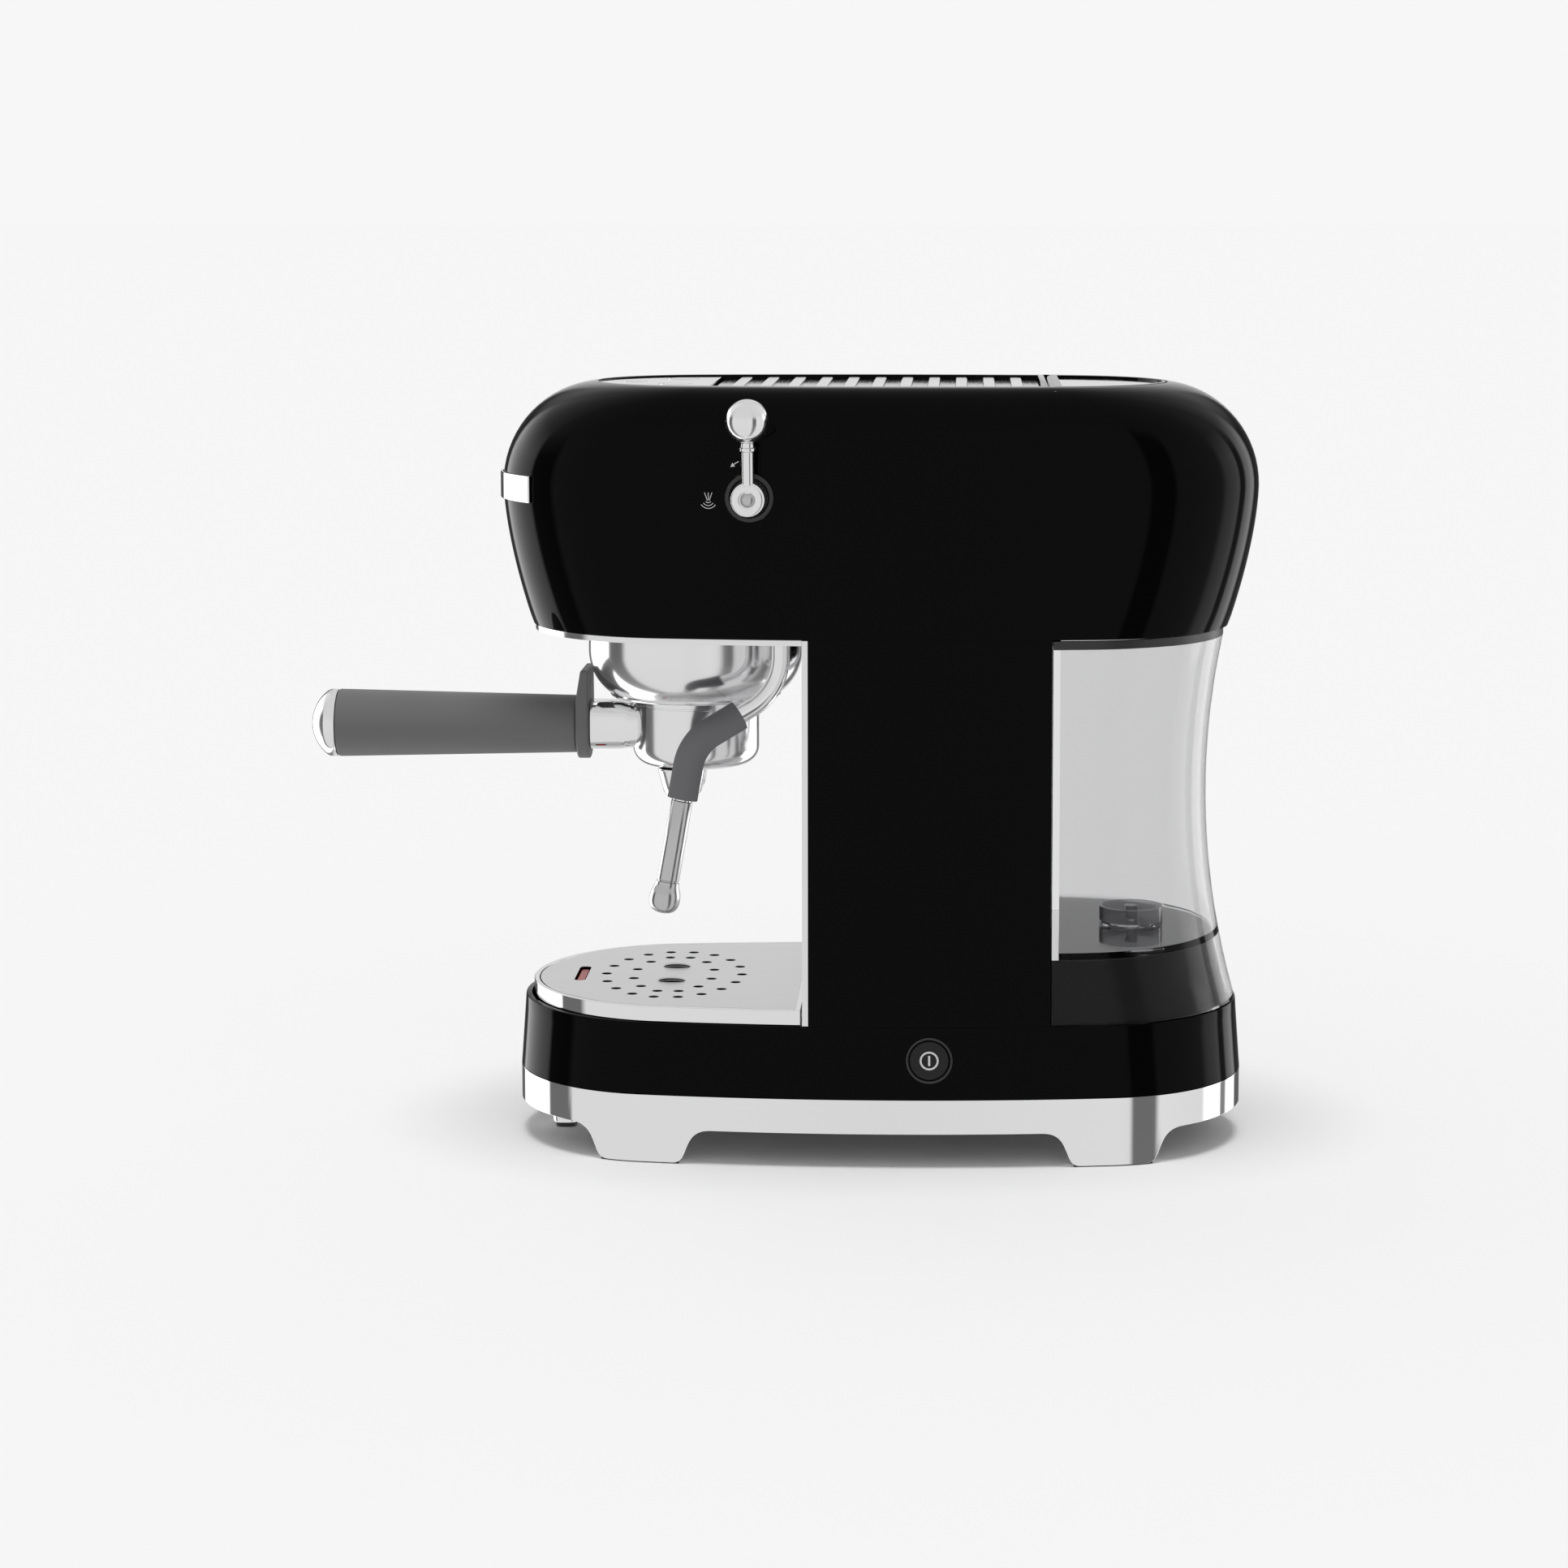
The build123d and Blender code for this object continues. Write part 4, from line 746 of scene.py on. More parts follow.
    def base(self) -> bpy.types.Object:
        """Builds the base band with its deck, tray bay and button hole."""
        low, high = Oval(self.base_length), Oval(self.deck_length)
        rings = [low.inset(0.3).ring(self.base_low), low.ring(self.base_low + 0.3)]
        for i in range(1, 6):
            share = i / 6
            length = self.base_length + (self.deck_length - self.base_length) * share
            height = self.base_low + (self.base_high - self.base_low) * share
            rings.append(Oval(length).ring(height))
        rings += [high.ring(self.base_high - 0.5), high.inset(0.14).ring(self.base_high - 0.14)]
        rings.append(high.inset(0.5).ring(self.base_high))
        base = from_rings("base_shell_gloss", rings)
        inside = high.inset(self.wall)
        cut(
            base,
            plate("base_inside", inside, self.base_low - 2, self.base_high - self.wall),
            plate("tray_bay", inside, self.base_high - 4, self.base_high + 4, -1e3, -32.2),
            bar("button_hole", (60, 22.8, 47.2), (80, 22.8, 47.2), 10.25, 64),
            bar("gland_hole", (-30, 140, 45), (-30, 165, 45), 7.6, 48),
        )
        shade(base, 32)
        return base

    def build(self) -> None:
        """Builds and dresses the shells."""
        dress(self.head(), "housing", BLACK_GLOSS, "head_shell")
        dress(self.column(), "housing", BLACK_GLOSS, "column_shell")
        dress(self.base(), "housing", BLACK_GLOSS, "base_shell", "bay_wall")


def rounded_box(
    size_x: float, size_y: float, radius: float, x: float, y: float, z: float, steps: int = 8
) -> list[Vector]:
    """Ring of points round a rectangle with round corners, at a height."""
    points = []
    for turn, sign_x, sign_y in ((0, 1, 1), (90, -1, 1), (180, -1, -1), (270, 1, -1)):
        centre = (sign_x * (size_x / 2 - radius), sign_y * (size_y / 2 - radius))
        points += arc(centre, radius, turn, turn + 90, steps)
    return [Vector((x + px, y + py, z)) for px, py in points]


def prism(
    name: str, outline: Sequence[Flat], start: float, end: float, across: int = 0
) -> bpy.types.Object:
    """Slab whose outline lies across one axis.

    Args:
        name: the new piece's name
        outline: points on the two other axes, in millimetres
        start: where the slab starts along the axis
        end: where it ends
        across: the axis, 0 for X and 1 for Y

    Returns:
        The new piece.
    """
    places = []
    for at in (start, end):
        places.append([Vector((at, a, b)) if across == 0 else Vector((a, at, b)) for a, b in outline])
    return from_rings(name, places)


def curve_points(corners: Sequence[Flat], count: int = 12) -> list[Flat]:
    """Points on the smooth curve that four corners control."""
    points = []
    for i in range(count + 1):
        t = i / count
        weights = ((1 - t) ** 3, 3 * t * (1 - t) ** 2, 3 * t * t * (1 - t), t**3)
        points.append(tuple(sum(w * c[axis] for w, c in zip(weights, corners)) for axis in (0, 1)))
    return points


def arc_through(first: Flat, middle: Flat, last: Flat, count: int = 14) -> list[Flat]:
    """Points on the arc through three points of a profile."""
    (ax, ay), (bx, by), (cx, cy) = first, middle, last
    twice = 2 * (ax * (by - cy) + bx * (cy - ay) + cx * (ay - by))
    a2, b2, c2 = ax * ax + ay * ay, bx * bx + by * by, cx * cx + cy * cy
    x = (a2 * (by - cy) + b2 * (cy - ay) + c2 * (ay - by)) / twice
    y = (a2 * (cx - bx) + b2 * (ax - cx) + c2 * (bx - ax)) / twice
    start = math.degrees(math.atan2(ay - y, ax - x))
    end = math.degrees(math.atan2(cy - y, cx - x))
    return arc((x, y), math.hypot(ax - x, ay - y), start, end, count)


def side_x(y: float) -> float:
    """How far out the body's side is at a Y value."""
    return HALF_WIDTH - SIDE_RADIUS + math.sqrt(SIDE_RADIUS**2 - y * y)


def ribbon(points: Sequence[Flat], width: float, looped: bool = False) -> list[list[Flat]]:
    """Quads that follow a line in the plane of a printed mark."""
    count = len(points)
    sides = []
    for i, (x, y) in enumerate(points):
        before = points[i - 1] if looped or i else points[i]
        after = points[(i + 1) % count] if looped or i < count - 1 else points[i]
        along = Vector((after[0] - before[0], after[1] - before[1])).normalized() * width / 2
        sides.append(((x - along.y, y + along.x), (x + along.y, y - along.x)))
    pairs = list(zip(sides, sides[1:])) + ([(sides[-1], sides[0])] if looped else [])
    return [[a, b, d, c] for (a, b), (c, d) in pairs]


def printed(
    name: str, shapes: Sequence[Sequence[Flat]], centre: Flat, lift: float, flat_at: float = 0.0
) -> bpy.types.Object:
    """Thin printed mark on the right-hand side.

    Args:
        name: the new piece's name
        shapes: faces as (y, z) points in millimetres about the mark's middle
        centre: the middle's Y and Z
        lift: how far the ink stands off the surface
        flat_at: the X value of a flat surface, or 0 for the body's curved side

    Returns:
        The new piece.
    """
    shape = bmesh.new()
    for face in shapes:
        corners = []
        for y, z in face:
            y, z = y + centre[0], z + centre[1]
            corners.append(shape.verts.new(Vector(((flat_at or side_x(y)) + lift, y, z)) * MM))
        shape.faces.new(corners)
    bmesh.ops.remove_doubles(shape, verts=shape.verts, dist=MERGE)
    mesh = bpy.data.meshes.new(name)
    shape.to_mesh(mesh)
    shape.free()
    piece = bpy.data.objects.new(name, mesh)
    bpy.context.scene.collection.objects.link(piece)
    edit_all(piece)
    bpy.ops.mesh.normals_make_consistent(inside=False)
    bpy.ops.object.mode_set(mode="OBJECT")
    if sum(face.normal.x for face in mesh.polygons) < 0:
        edit_all(piece)
        bpy.ops.mesh.flip_normals()
        bpy.ops.object.mode_set(mode="OBJECT")
    ink = piece.modifiers.new("ink", "SOLIDIFY")
    ink.thickness = 0.08 * MM
    ink.offset = -1.0
    apply_modifiers(piece)
    return piece


@dataclass(frozen=True)
class Base:
    """Chrome ring with its legs, and the feet."""

    half_length: float = 160.3
    low: float = 0.5
    arch: float = 15.0
    high: float = 29.9
    wall: float = 6.0
    toe: tuple[Flat, ...] = ((0.0, 0.5), (-3.4, 0.5), (-4.4, 2.2), (-5.5, 4.8))
    flank: tuple[Flat, ...] = ((-5.5, 4.8), (-7.8, 10.5), (-9.0, 15.0), (-17.0, 15.0))
    inner_toe: float = 88.0
    outer_toe: float = 116.0

    def ring(self) -> bpy.types.Object:
        """Builds the ring and cuts the arches between its legs."""
        outside = Oval(self.half_length)
        inside = outside.inset(self.wall)
        ring = from_rings(
            "base_ring_chrome",
            [outside.ring(self.low), outside.ring(self.high), inside.ring(self.high),
             inside.ring(self.low)],
            closed_up=True,
        )
        side = curve_points(self.toe) + curve_points(self.flank)[1:]
        rise = [(self.inner_toe + y, z) for y, z in side]
        middle = rise + [(-y, z) for y, z in reversed(rise)]
        middle += [(-self.inner_toe, -5.0), (self.inner_toe, -5.0)]
        outer = [(self.outer_toe - y, z) for y, z in side]
        outer += [(180.0, self.arch), (180.0, -5.0), (self.outer_toe, -5.0)]
        cut(
            ring,
            prism("arch_middle", middle, -90, 90),
            prism("arch_rear", outer, -90, 90),
            prism("arch_front", [(-y, z) for y, z in outer], -90, 90),
        )
        round_edges(ring, 0.45, 2, 50)
        shade(ring, 35)
        weigh_normals(ring)
        return ring

    def build(self) -> None:
        """Builds the ring and coats the rest of the underside."""
        dress(self.ring(), "housing", CHROME, "base_ring")
        foot = refined("front_foot", "front_foot_chrome", 0.6)
        dress(foot, "housing", CHROME, "front_foot")
        coat(BLACK_RUBBER, "rubber_feet", "cord_gland")
        coat(BLACK_MATTE, "bottom_plate", "power_switch")
        coat(ZINC, "bottom_screws")


@dataclass(frozen=True)
class Group:
    """Group collar, filter holder and its handle."""

    middle: float = -81.7
    handle_height: float = 181.3
    guard_face: float = -128.5
    guard_back: float = -134.0
    grip_end: float = -240.8
    cap_end: float = -252.8

    def collar(self) -> bpy.types.Object:
        """Turns the deep collar under the head."""
        bowl = arc_through((47.3, 216.0), (44.2, 203.4), (37.5, 196.0), 20)
        profile = [(35.0, 225.1), (46.9, 225.1), (47.3, 224.7)] + bowl
        profile += arc((36.2, 196.2), 1.7, -20, -90, 5)
        profile += [(30.3, 194.5), (29.8, 195.0), (29.8, 198.2), (35.0, 198.2)]
        return turned("group_collar_chrome", profile, (0, self.middle, 0), steps=160, looped=True)

    def holder(self) -> bpy.types.Object:
        """Turns the filter holder's body."""
        profile = [(4.0, 164.0), (20.0, 164.0)] + arc((20.0, 172.0), 8.0, -80, 0, 9)
        profile += [(28.0, 190.8), (27.75, 191.0), (27.75, 191.5), (28.0, 191.7), (28.0, 198.6)]
        profile += [(30.2, 198.6), (30.5, 198.9), (30.5, 204.7), (30.2, 205.0), (26.6, 205.0)]
        profile += [(26.4, 204.8), (26.4, 169.5), (4.0, 169.5)]
        return turned("filter_holder_chrome", profile, (0, self.middle, 0), steps=128, looped=True)

    def neck(self) -> bpy.types.Object:
        """Lofts the neck from its flared boss to the guard."""
        stations = (
            (-103.0, 26.0, 20.0, 9.0), (-110.6, 26.0, 20.0, 9.0), (-111.6, 25.6, 20.0, 9.0),
            (-112.6, 24.0, 20.4, 8.6), (-113.6, 22.6, 21.0, 8.2), (-115.0, 22.0, 21.4, 8.0),
            (-127.9, 22.0, 21.6, 8.0), (-128.4, 21.4, 21.0, 7.7),
        )
        rings = []
        for y, size_x, size_z, radius in stations:
            flat = rounded_box(size_x, size_z, radius, 0, self.handle_height, 0)
            rings.append([Vector((p.x, y, p.y)) for p in flat])
        neck = from_rings("handle_neck_chrome", rings)
        shade(neck, 30)
        return neck

    def spout(self) -> bpy.types.Object:
        """Lofts the twin spout and bores its outlets."""
        stations = (
            (152.7, 40.6, 15.4, 7.2, -86.9), (153.3, 41.6, 16.4, 7.6, -86.9),
            (156.0, 42.6, 17.4, 7.8, -87.0), (163.2, 45.6, 20.4, 8.0, -87.3),
            (163.9, 45.0, 19.8, 7.8, -87.3),
        )
        rings = [rounded_box(sx, sy, r, 0, y, z) for z, sx, sy, r, y in stations]
        spout = from_rings("spout_chrome", rings)
        arch = arc((0.0, 152.0), 5.5, 0, 360, 40)[:-1]
        drills = [prism("arch", arch, -100, -70, across=1)]
        drills += [bar("outlet", (x, -86.9, 150), (x, -86.9, 160), 4.0, 40) for x in (-13.5, 13.5)]
        cut(spout, joined("spout_drills", drills))
        round_edges(spout, 0.4, 3, 50)
        shade(spout, 35)
        return spout

    def guard(self) -> bpy.types.Object:
        """Builds the thumb guard, thinner towards its top."""
        outline = [(13.6, 25.0), (12.6, 25.4), (-12.6, 25.4), (-13.6, 25.0), (-15.5, 0.0)]
        outline += arc((0.0, 0.0), 15.3, 183, 357, 30) + [(15.5, 0.0)]
        placed = [(x, self.handle_height + z) for x, z in outline]
        guard = prism("handle_guard_grey", placed, self.guard_face, self.guard_back, across=1)
        edit_all(guard)
        bpy.ops.mesh.bisect(
            plane_co=(0, 0, (self.handle_height + 12) * MM), plane_no=(0, 0, 1)
        )
        bpy.ops.object.mode_set(mode="OBJECT")
        for point in guard.data.vertices:
            above = point.co.z / MM - self.handle_height - 12
            if above > 1 and point.co.y / MM < self.guard_back + 0.1:
                point.co.y += above * 0.16 * MM
        round_edges(guard, 0.9, 4, 50)
        shade(guard, 35)
        weigh_normals(guard)
        return guard

    def grip(self) -> bpy.types.Object:
        """Turns the tapered grip."""
        length = self.guard_back - self.grip_end
        profile = [(0.0, 0.15), (11.6, 0.15)] + arc((11.75, 1.15), 1.0, -90, 0, 5)
        profile += [(12.75 + 2.25 * i / 8, 1.2 + (length - 2.2) * i / 8) for i in range(9)]
        profile += arc((14.2, length - 0.8), 0.8, 0, 90, 5) + [(0.0, length)]
        place = (0, self.guard_back, self.handle_height)
        return turned("handle_grip_grey", profile, place, (0, -1, 0), steps=112)

    def cap(self) -> bpy.types.Object:
        """Turns the domed end cap."""
        length = self.grip_end - self.cap_end
        rim, radius = 4.0, 15.0
        rise = length - rim
        dome = radius**2 / (2 * rise) + rise / 2
        half = math.degrees(math.asin(radius / dome))
        profile = [(0.0, 0.1), (14.4, 0.1), (14.8, 0.3), (15.0, 0.8), (15.0, rim - 0.6)]
        profile += arc((0.0, length - dome), dome, 90 - half + 3.5, 90, 22)
        place = (0, self.grip_end, self.handle_height)
        return turned("handle_cap_chrome", profile, place, (0, -1, 0), steps=112)

    def build(self) -> None:
        """Builds the collar and the filter holder."""
        dress(self.collar(), "housing", SOFT_CHROME, "group_collar")
        coat(CAST, "group_head")
        coat(BLACK_RUBBER, "group_gasket")
        coat(SATIN, "shower_screen", "filter_basket")
        dress(self.holder(), "portafilter", SOFT_CHROME, "portafilter_body")
        dress(self.spout(), "portafilter", SOFT_CHROME, "spout")
        handle = (
            dress(self.neck(), "portafilter", CHROME, "handle_neck"),
            dress(self.guard(), "portafilter", GREY_GRIP, "handle_guard"),
            dress(self.grip(), "portafilter", GREY_GRIP, "handle_grip"),
            dress(self.cap(), "portafilter", SOFT_CHROME, "handle_cap"),
        )
        for piece in handle:
            piece.visible_shadow = False    # the soft light leaves no shadow of the handle


@dataclass(frozen=True)
class SteamLever:
    """Lever on the right-hand side, with its bezel and printed marks."""

    y: float = -53.5
    z: float = 288.0
    stem_x: float = 83.0
    ball_x: float = 86.5
    ball_z: float = 321.0
    ball_radius: float = 9.3

    def lever(self) -> bpy.types.Object:
        """Turns the hub, stem and ball and joins them."""
        hub = [(0.0, 0.0), (7.2, 0.0), (7.6, 0.4), (7.6, 8.7)] + arc((5.1, 8.7), 2.5, 0, 78, 7)
        hub += [(4.2, 11.2), (3.4, 10.9), (2.9, 10.3), (2.7, 9.4), (0.0, 9.4)]
        stem = [(0.0, 3.0), (2.75, 3.0), (2.75, 20.4), (3.1, 20.7), (3.6, 21.0), (3.6, 22.2)]
        stem += [(3.1, 22.5), (2.9, 24.6), (0.0, 24.6)]
        radius = self.ball_radius
        ball = [(3.3, -radius * 0.96), (3.5, -radius * 0.93)] + arc((0, 0), radius, -64, 84, 40)
        ball += [(0.7, radius * 0.98), (0.0, radius * 0.975)]
        ball = [(0.0, -radius * 0.96)] + ball
        lean = Vector((self.ball_x - self.stem_x, 0, self.ball_z - self.z)).normalized()
        parts = [
            turned("hub", hub, (74.8, self.y, self.z), (1, 0, 0), 96),
            turned("stem", stem, (self.stem_x - 0.6, self.y, self.z), tuple(lean), 48),
            turned("ball", ball, (self.ball_x, self.y, self.ball_z), tuple(lean), 96),
        ]
        return joined("steam_lever_chrome", parts)

    def plug(self) -> bpy.types.Object:
        """Turns the plug let into the hub's end, in darkened steel: painted shade for the hub's
        dished centre.
        """
        profile = [(0.0, 8.0), (2.65, 8.0), (2.65, 9.7), (2.3, 10.1), (0.9, 10.45), (0.0, 10.5)]
        return turned("lever_hub_painted_shade", profile, (74.8, self.y, self.z), (1, 0, 0), 64)

    def bezel(self) -> bpy.types.Object:
        """Turns the dark ring round the hub."""
        profile = [(4.1, 0.0), (10.4, 0.0), (10.4, 3.4)] + arc((9.3, 3.4), 1.1, 0, 80, 5)
        profile += [(8.6, 4.4), (8.2, 3.9), (7.9, 3.0), (7.9, 2.4), (4.1, 2.4)]
        place = (69.9, self.y, self.z)
        return turned("lever_bezel_ring", profile, place, (1, 0, 0), 96, looped=True)

    def steam_mark(self) -> bpy.types.Object:
        """Prints the steam mark: three rays over three arcs."""
        shapes = []
        for lean in (-0.55, 0.0, 0.55):
            shapes += ribbon([(lean * 0.8, 0.6), (lean * 1.7, 2.1), (lean * 2.9, 3.9)], 0.26)
        for radius in (1.3, 2.5, 3.7):
            shapes += ribbon(arc((0.0, 0.9), radius, -145, -35, 14), 0.26)
        return printed("steam_mark", shapes, (-70.9, 286.2), 0.09)

    def arrow_mark(self) -> bpy.types.Object:
        """Prints the small arrow that shows which way the lever turns."""
        shapes = ribbon([(1.6, 1.2), (0.3, 0.5), (-0.6, -0.2)], 0.4)
        shapes.append([(-1.9, -1.1), (0.1, -0.9), (-1.0, 0.7)])
        return printed("arrow_mark", shapes, (-59.6, 302.1), 0.09)

    def build(self) -> None:
        """Builds the lever and its surroundings."""
        dress(self.lever(), "steam_lever", SOFT_CHROME, "lever_hub", "lever_ball")
        # The plug's darker steel paints the shade in the middle of the hub's dished end.
        dress(self.plug(), "steam_lever", STEEL_PAINTED_DARK_REFLECTION)
        dress(self.bezel(), "housing", DARK_GREY, "lever_bezel")
        dress(self.steam_mark(), "housing", PRINT)
        dress(self.arrow_mark(), "housing", PRINT)
        coat(BRASS, "steam_valve", "wand_socket")
        coat(ZINC, "steam_pipe")


@dataclass(frozen=True)
class PowerButton:
    """Round switch in the base, with its ring and printed mark."""

    y: float = 22.8
    z: float = 47.2

    def bezel(self) -> bpy.types.Object:
        """Turns the ring."""
        profile = [(8.8, 0.0), (10.1, 0.0), (10.1, 4.4)] + arc((9.5, 4.4), 0.6, 0, 90, 4)
        profile += [(9.3, 5.0), (8.95, 4.7), (8.8, 4.3)]
        place = (69.5, self.y, self.z)
        return turned("power_ring", profile, place, (1, 0, 0), 96, looped=True)

    def button(self) -> bpy.types.Object:
        """Turns the slightly dished cap."""
        profile = [(0.0, 0.0), (8.5, 0.0), (8.5, 5.6)] + arc((7.9, 5.6), 0.6, 0, 90, 4)
        profile += [(6.0, 6.08), (3.0, 6.02), (0.0, 6.0)]
        return turned("power_cap", profile, (68.0, self.y, self.z), (1, 0, 0), 96)

    def mark(self) -> bpy.types.Object:
        """Prints the on-off mark, a bar in a ring."""
        shapes = ribbon(arc((0, 0), 3.65, 0, 352.5, 47), 0.8, looped=True)
        shapes += ribbon([(0, -2.2), (0, 2.2)], 0.9)
        return printed("power_mark", shapes, (self.y, self.z), 0.09, 74.04)

    def build(self) -> None:
        """Builds the switch."""
        dress(self.bezel(), "housing", DARK_GREY, "power_bezel")
        dress(self.button(), "power_button", BLACK_SATIN, "power_button")
        dress(self.mark(), "power_button", PRINT)


@dataclass(frozen=True)
class TopPlates:
    """Control panel with its buttons, cup warmer and the tank's lid."""

    half_length: float = 124.0
    half_width: float = 52.0
    low: float = 326.0
    panel_top: float = 333.4
    panel_rear: float = -72.6
    warmer_front: float = -71.4
    warmer_rear: float = 69.5
    warmer_top: float = 331.9
    rib_pitch: float = 12.07
    rib_width: float = 5.4
    rib_height: float = 1.4
    rib_span: float = 44.0
    ribs: int = 11
    ribs_middle: float = -0.7

    def oval(self, inset: float) -> Oval:
        """The top pocket's outline moved inwards, with the side's own radius."""
        return Oval(self.half_length - inset, self.half_width - inset, SIDE_RADIUS - 22.5 - inset)

    def panel(self) -> bpy.types.Object:
        """Builds the panel and bores its buttons' wells."""
        panel = plate(
            "control_panel_chrome", self.oval(0.3), self.low, self.panel_top, to_y=self.panel_rear
        )
        for x, y, radius in BUTTONS:
            cut(panel, bar("well", (x, y, 327.2), (x, y, 334), radius + 0.35, 64))
        round_edges(panel, 0.5, 3, 50)
        shade(panel, 35)
        weigh_normals(panel)
        return panel

    @staticmethod
    def button(name: str, x: float, y: float, radius: float) -> bpy.types.Object:
        """Turns one button, with a groove round its dished top."""
        profile = [(0.0, 0.1), (radius, 0.1), (radius, 4.3)]
        profile += arc((radius - 0.5, 4.3), 0.5, 0, 90, 4)
        profile += [(radius - 1.3, 4.8), (radius - 1.5, 4.55), (radius - 1.9, 4.55)]
        profile += [(radius - 2.1, 4.75), (radius * 0.4, 4.6), (0.0, 4.55)]
        return turned(name, profile, (x, y, 328.9), steps=64)

    def warmer(self) -> bpy.types.Object:
        """Builds the cup warmer and its ribs."""
        base = plate(
            "cup_warmer_steel", self.oval(0.3), self.low, self.warmer_top,
            self.warmer_front, self.warmer_rear,
        )
        round_edges(base, 0.5, 3, 50)
        parts = [base]
        first = self.ribs_middle - self.rib_pitch * (self.ribs - 1) / 2
        for i in range(self.ribs):
            middle = first + i * self.rib_pitch
            half = self.rib_width / 2
            low = rounded_box(
                2 * self.rib_span, self.rib_width, half - 0.05, 0, middle, self.warmer_top - 0.5, 10
            )
            high = [Vector((p.x, p.y, self.warmer_top + self.rib_height)) for p in low]
            rib = from_rings(f"rib_{i}", [low, high])
            round_edges(rib, 0.7, 4, 50)
            parts.append(rib)
        warmer = joined("cup_warmer_steel", parts)
        shade(warmer, 35)
        weigh_normals(warmer)
        return warmer

    def lid_plate(self) -> bpy.types.Object:
        """Builds the plate let into the lid."""
        oval = Oval(123.0, self.half_width - 0.3, SIDE_RADIUS - 22.8)
        inset = plate("lid_plate_chrome", oval, 329.4, 333.0, 78.6)
        round_edges(inset, 0.4, 3, 50)
        shade(inset, 35)
        weigh_normals(inset)
        return inset

    def build(self) -> None:
        """Builds what is in the top."""
        dress(self.panel(), "housing", CHROME, "control_panel")
        for body, (x, y, radius) in zip(("button_left", "button_front", "button_right"), BUTTONS):
            dress(self.button(f"{body}_cap", x, y, radius), body, CHROME, body)
        dress(self.warmer(), "housing", POLISHED, "cup_warmer_plate")
        dress(self.lid_plate(), "tank_lid", CHROME, "lid_plate")
        dress(refined("tank_lid", "tank_lid_gloss", 0.4), "tank_lid", BLACK_GLOSS, "tank_lid")
        coat(ZINC, "lid_hinge_pin")
        coat(BLACK_MATTE, "fill_chute")


@dataclass(frozen=True)
class DripTray:
    """Chrome-edged tray, its bowl, the perforated grid and the red float."""

    rim: Oval = Oval(154.3, 73.7)
    rear: float = -32.3
    rim_low: float = 61.95
    rim_high: float = 68.4
    lip: float = 2.3
    grid_low: float = 68.0
    grid_inset: float = 2.8
    hole: float = 2.35
    holes_middle: float = -92.0
    louvre_radius: float = 6.4
    louvre_height: float = 1.8
    float_y: float = -133.0

    def band(self) -> bpy.types.Object:
        """Builds the bright band round the tray."""
        band = plate("drip_rim_chrome", self.rim, self.rim_low, self.rim_high, -1e3, self.rear)
        inner = self.rim.inset(self.lip)
        low, high = self.rim_low - 2, self.rim_high + 2
        cut(band, plate("rim_inside", inner, low, high, to_y=self.rear - self.lip))
        round_edges(band, 0.7, 4, 50)
        shade(band, 35)
        weigh_normals(band)
        return band

    def bowl(self) -> bpy.types.Object:
        """Builds the bowl under the grid, in near-black steel: painted shade that shows through the
        grid's holes.
        """
        outer = Oval(152.4, 71.1)
        bowl = plate("drip_bowl_steel", outer, 38.0, 62.4, -1e3, self.rear - 0.9)
        cut(bowl, plate("bowl_inside", outer.inset(1.6), 39.6, 66, -1e3, self.rear - 2.5))
        round_edges(bowl, 0.5, 2, 60)
        shade(bowl, 35)
        return bowl

    def grid(self) -> bpy.types.Object:
        """Builds the grid, its holes, its float slot and its two raised louvres."""
        grid = plate(
            "drip_grid_steel", self.rim.inset(self.grid_inset), self.grid_low, self.rim_high,
            to_y=self.rear - 2.2,
        )
        drills = []
        for count, half_x, half_y in ((18, 47.7, 30.3), (12, 36.5, 17.9)):
            for index in range(count):
                turn = math.tau * (index + 0.5) / count
                x, y = half_x * math.cos(turn), self.holes_middle + half_y * math.sin(turn)
                drills.append(bar("drill", (x, y, 64), (x, y, 70), self.hole, 28))
        low = rounded_box(30.0, 5.0, 2.45, 0, self.float_y, 64.0)
        drills.append(from_rings("slot", [low, [Vector((p.x, p.y, 70.0)) for p in low]]))
        for x in (-15.0, 15.0):
            low = [
                Vector((x + 0.4 + 2.2 * a, self.holes_middle + 5.5 * b, 64.0))
                for a, b in arc((0, 0), 1, 0, 350, 35)
            ]
            drills.append(from_rings("mouth", [low, [Vector((p.x, p.y, 70.0)) for p in low]]))
        cut(grid, joined("drills", drills))
        round_edges(grid, 0.1, 2, 50)
        parts = [grid, self.louvre("louvre_left", -15.0), self.louvre("louvre_right", 15.0)]
        whole = joined("drip_grid_steel", parts)
        shade(whole, 35)
        weigh_normals(whole)
        return whole

    def louvre(self, name: str, x: float) -> bpy.types.Object:
        """Turns a thin low dome and keeps its left half, open to the right."""
        radius, height, sheet = self.louvre_radius, self.louvre_height, 0.6
        turns = [math.pi / 2 * i / 12 for i in range(13)]
        profile = [(radius * math.cos(t), height * math.sin(t)) for t in turns]
        profile += [
            ((radius - sheet) * math.cos(t), (height - sheet) * math.sin(t))
            for t in reversed(turns)
        ]
        place = (x, self.holes_middle, self.rim_high - 0.02)
        dome = turned(name, profile, place, steps=72, looped=True)
        edit_all(dome)
        bpy.ops.mesh.bisect(
            plane_co=(x * MM, 0, 0), plane_no=(-1, 0, 0), use_fill=True, clear_inner=True
        )
        bpy.ops.object.mode_set(mode="OBJECT")
        return dome

    def build(self) -> None:
        """Builds the tray."""
        dress(self.band(), "drip_tray", CHROME, "drip_basin")
        # The bowl's near-black steel paints the shade seen through the grid's holes.
        dress(self.bowl(), "drip_tray", TRAY_BOWL_PAINTED_SHADE, "drip_basin")
        dress(self.grid(), "drip_grid", SATIN, "drip_grid")
        dress(refined("tray_float", "tray_float_red", 0.4), "tray_float", RED, "tray_float")


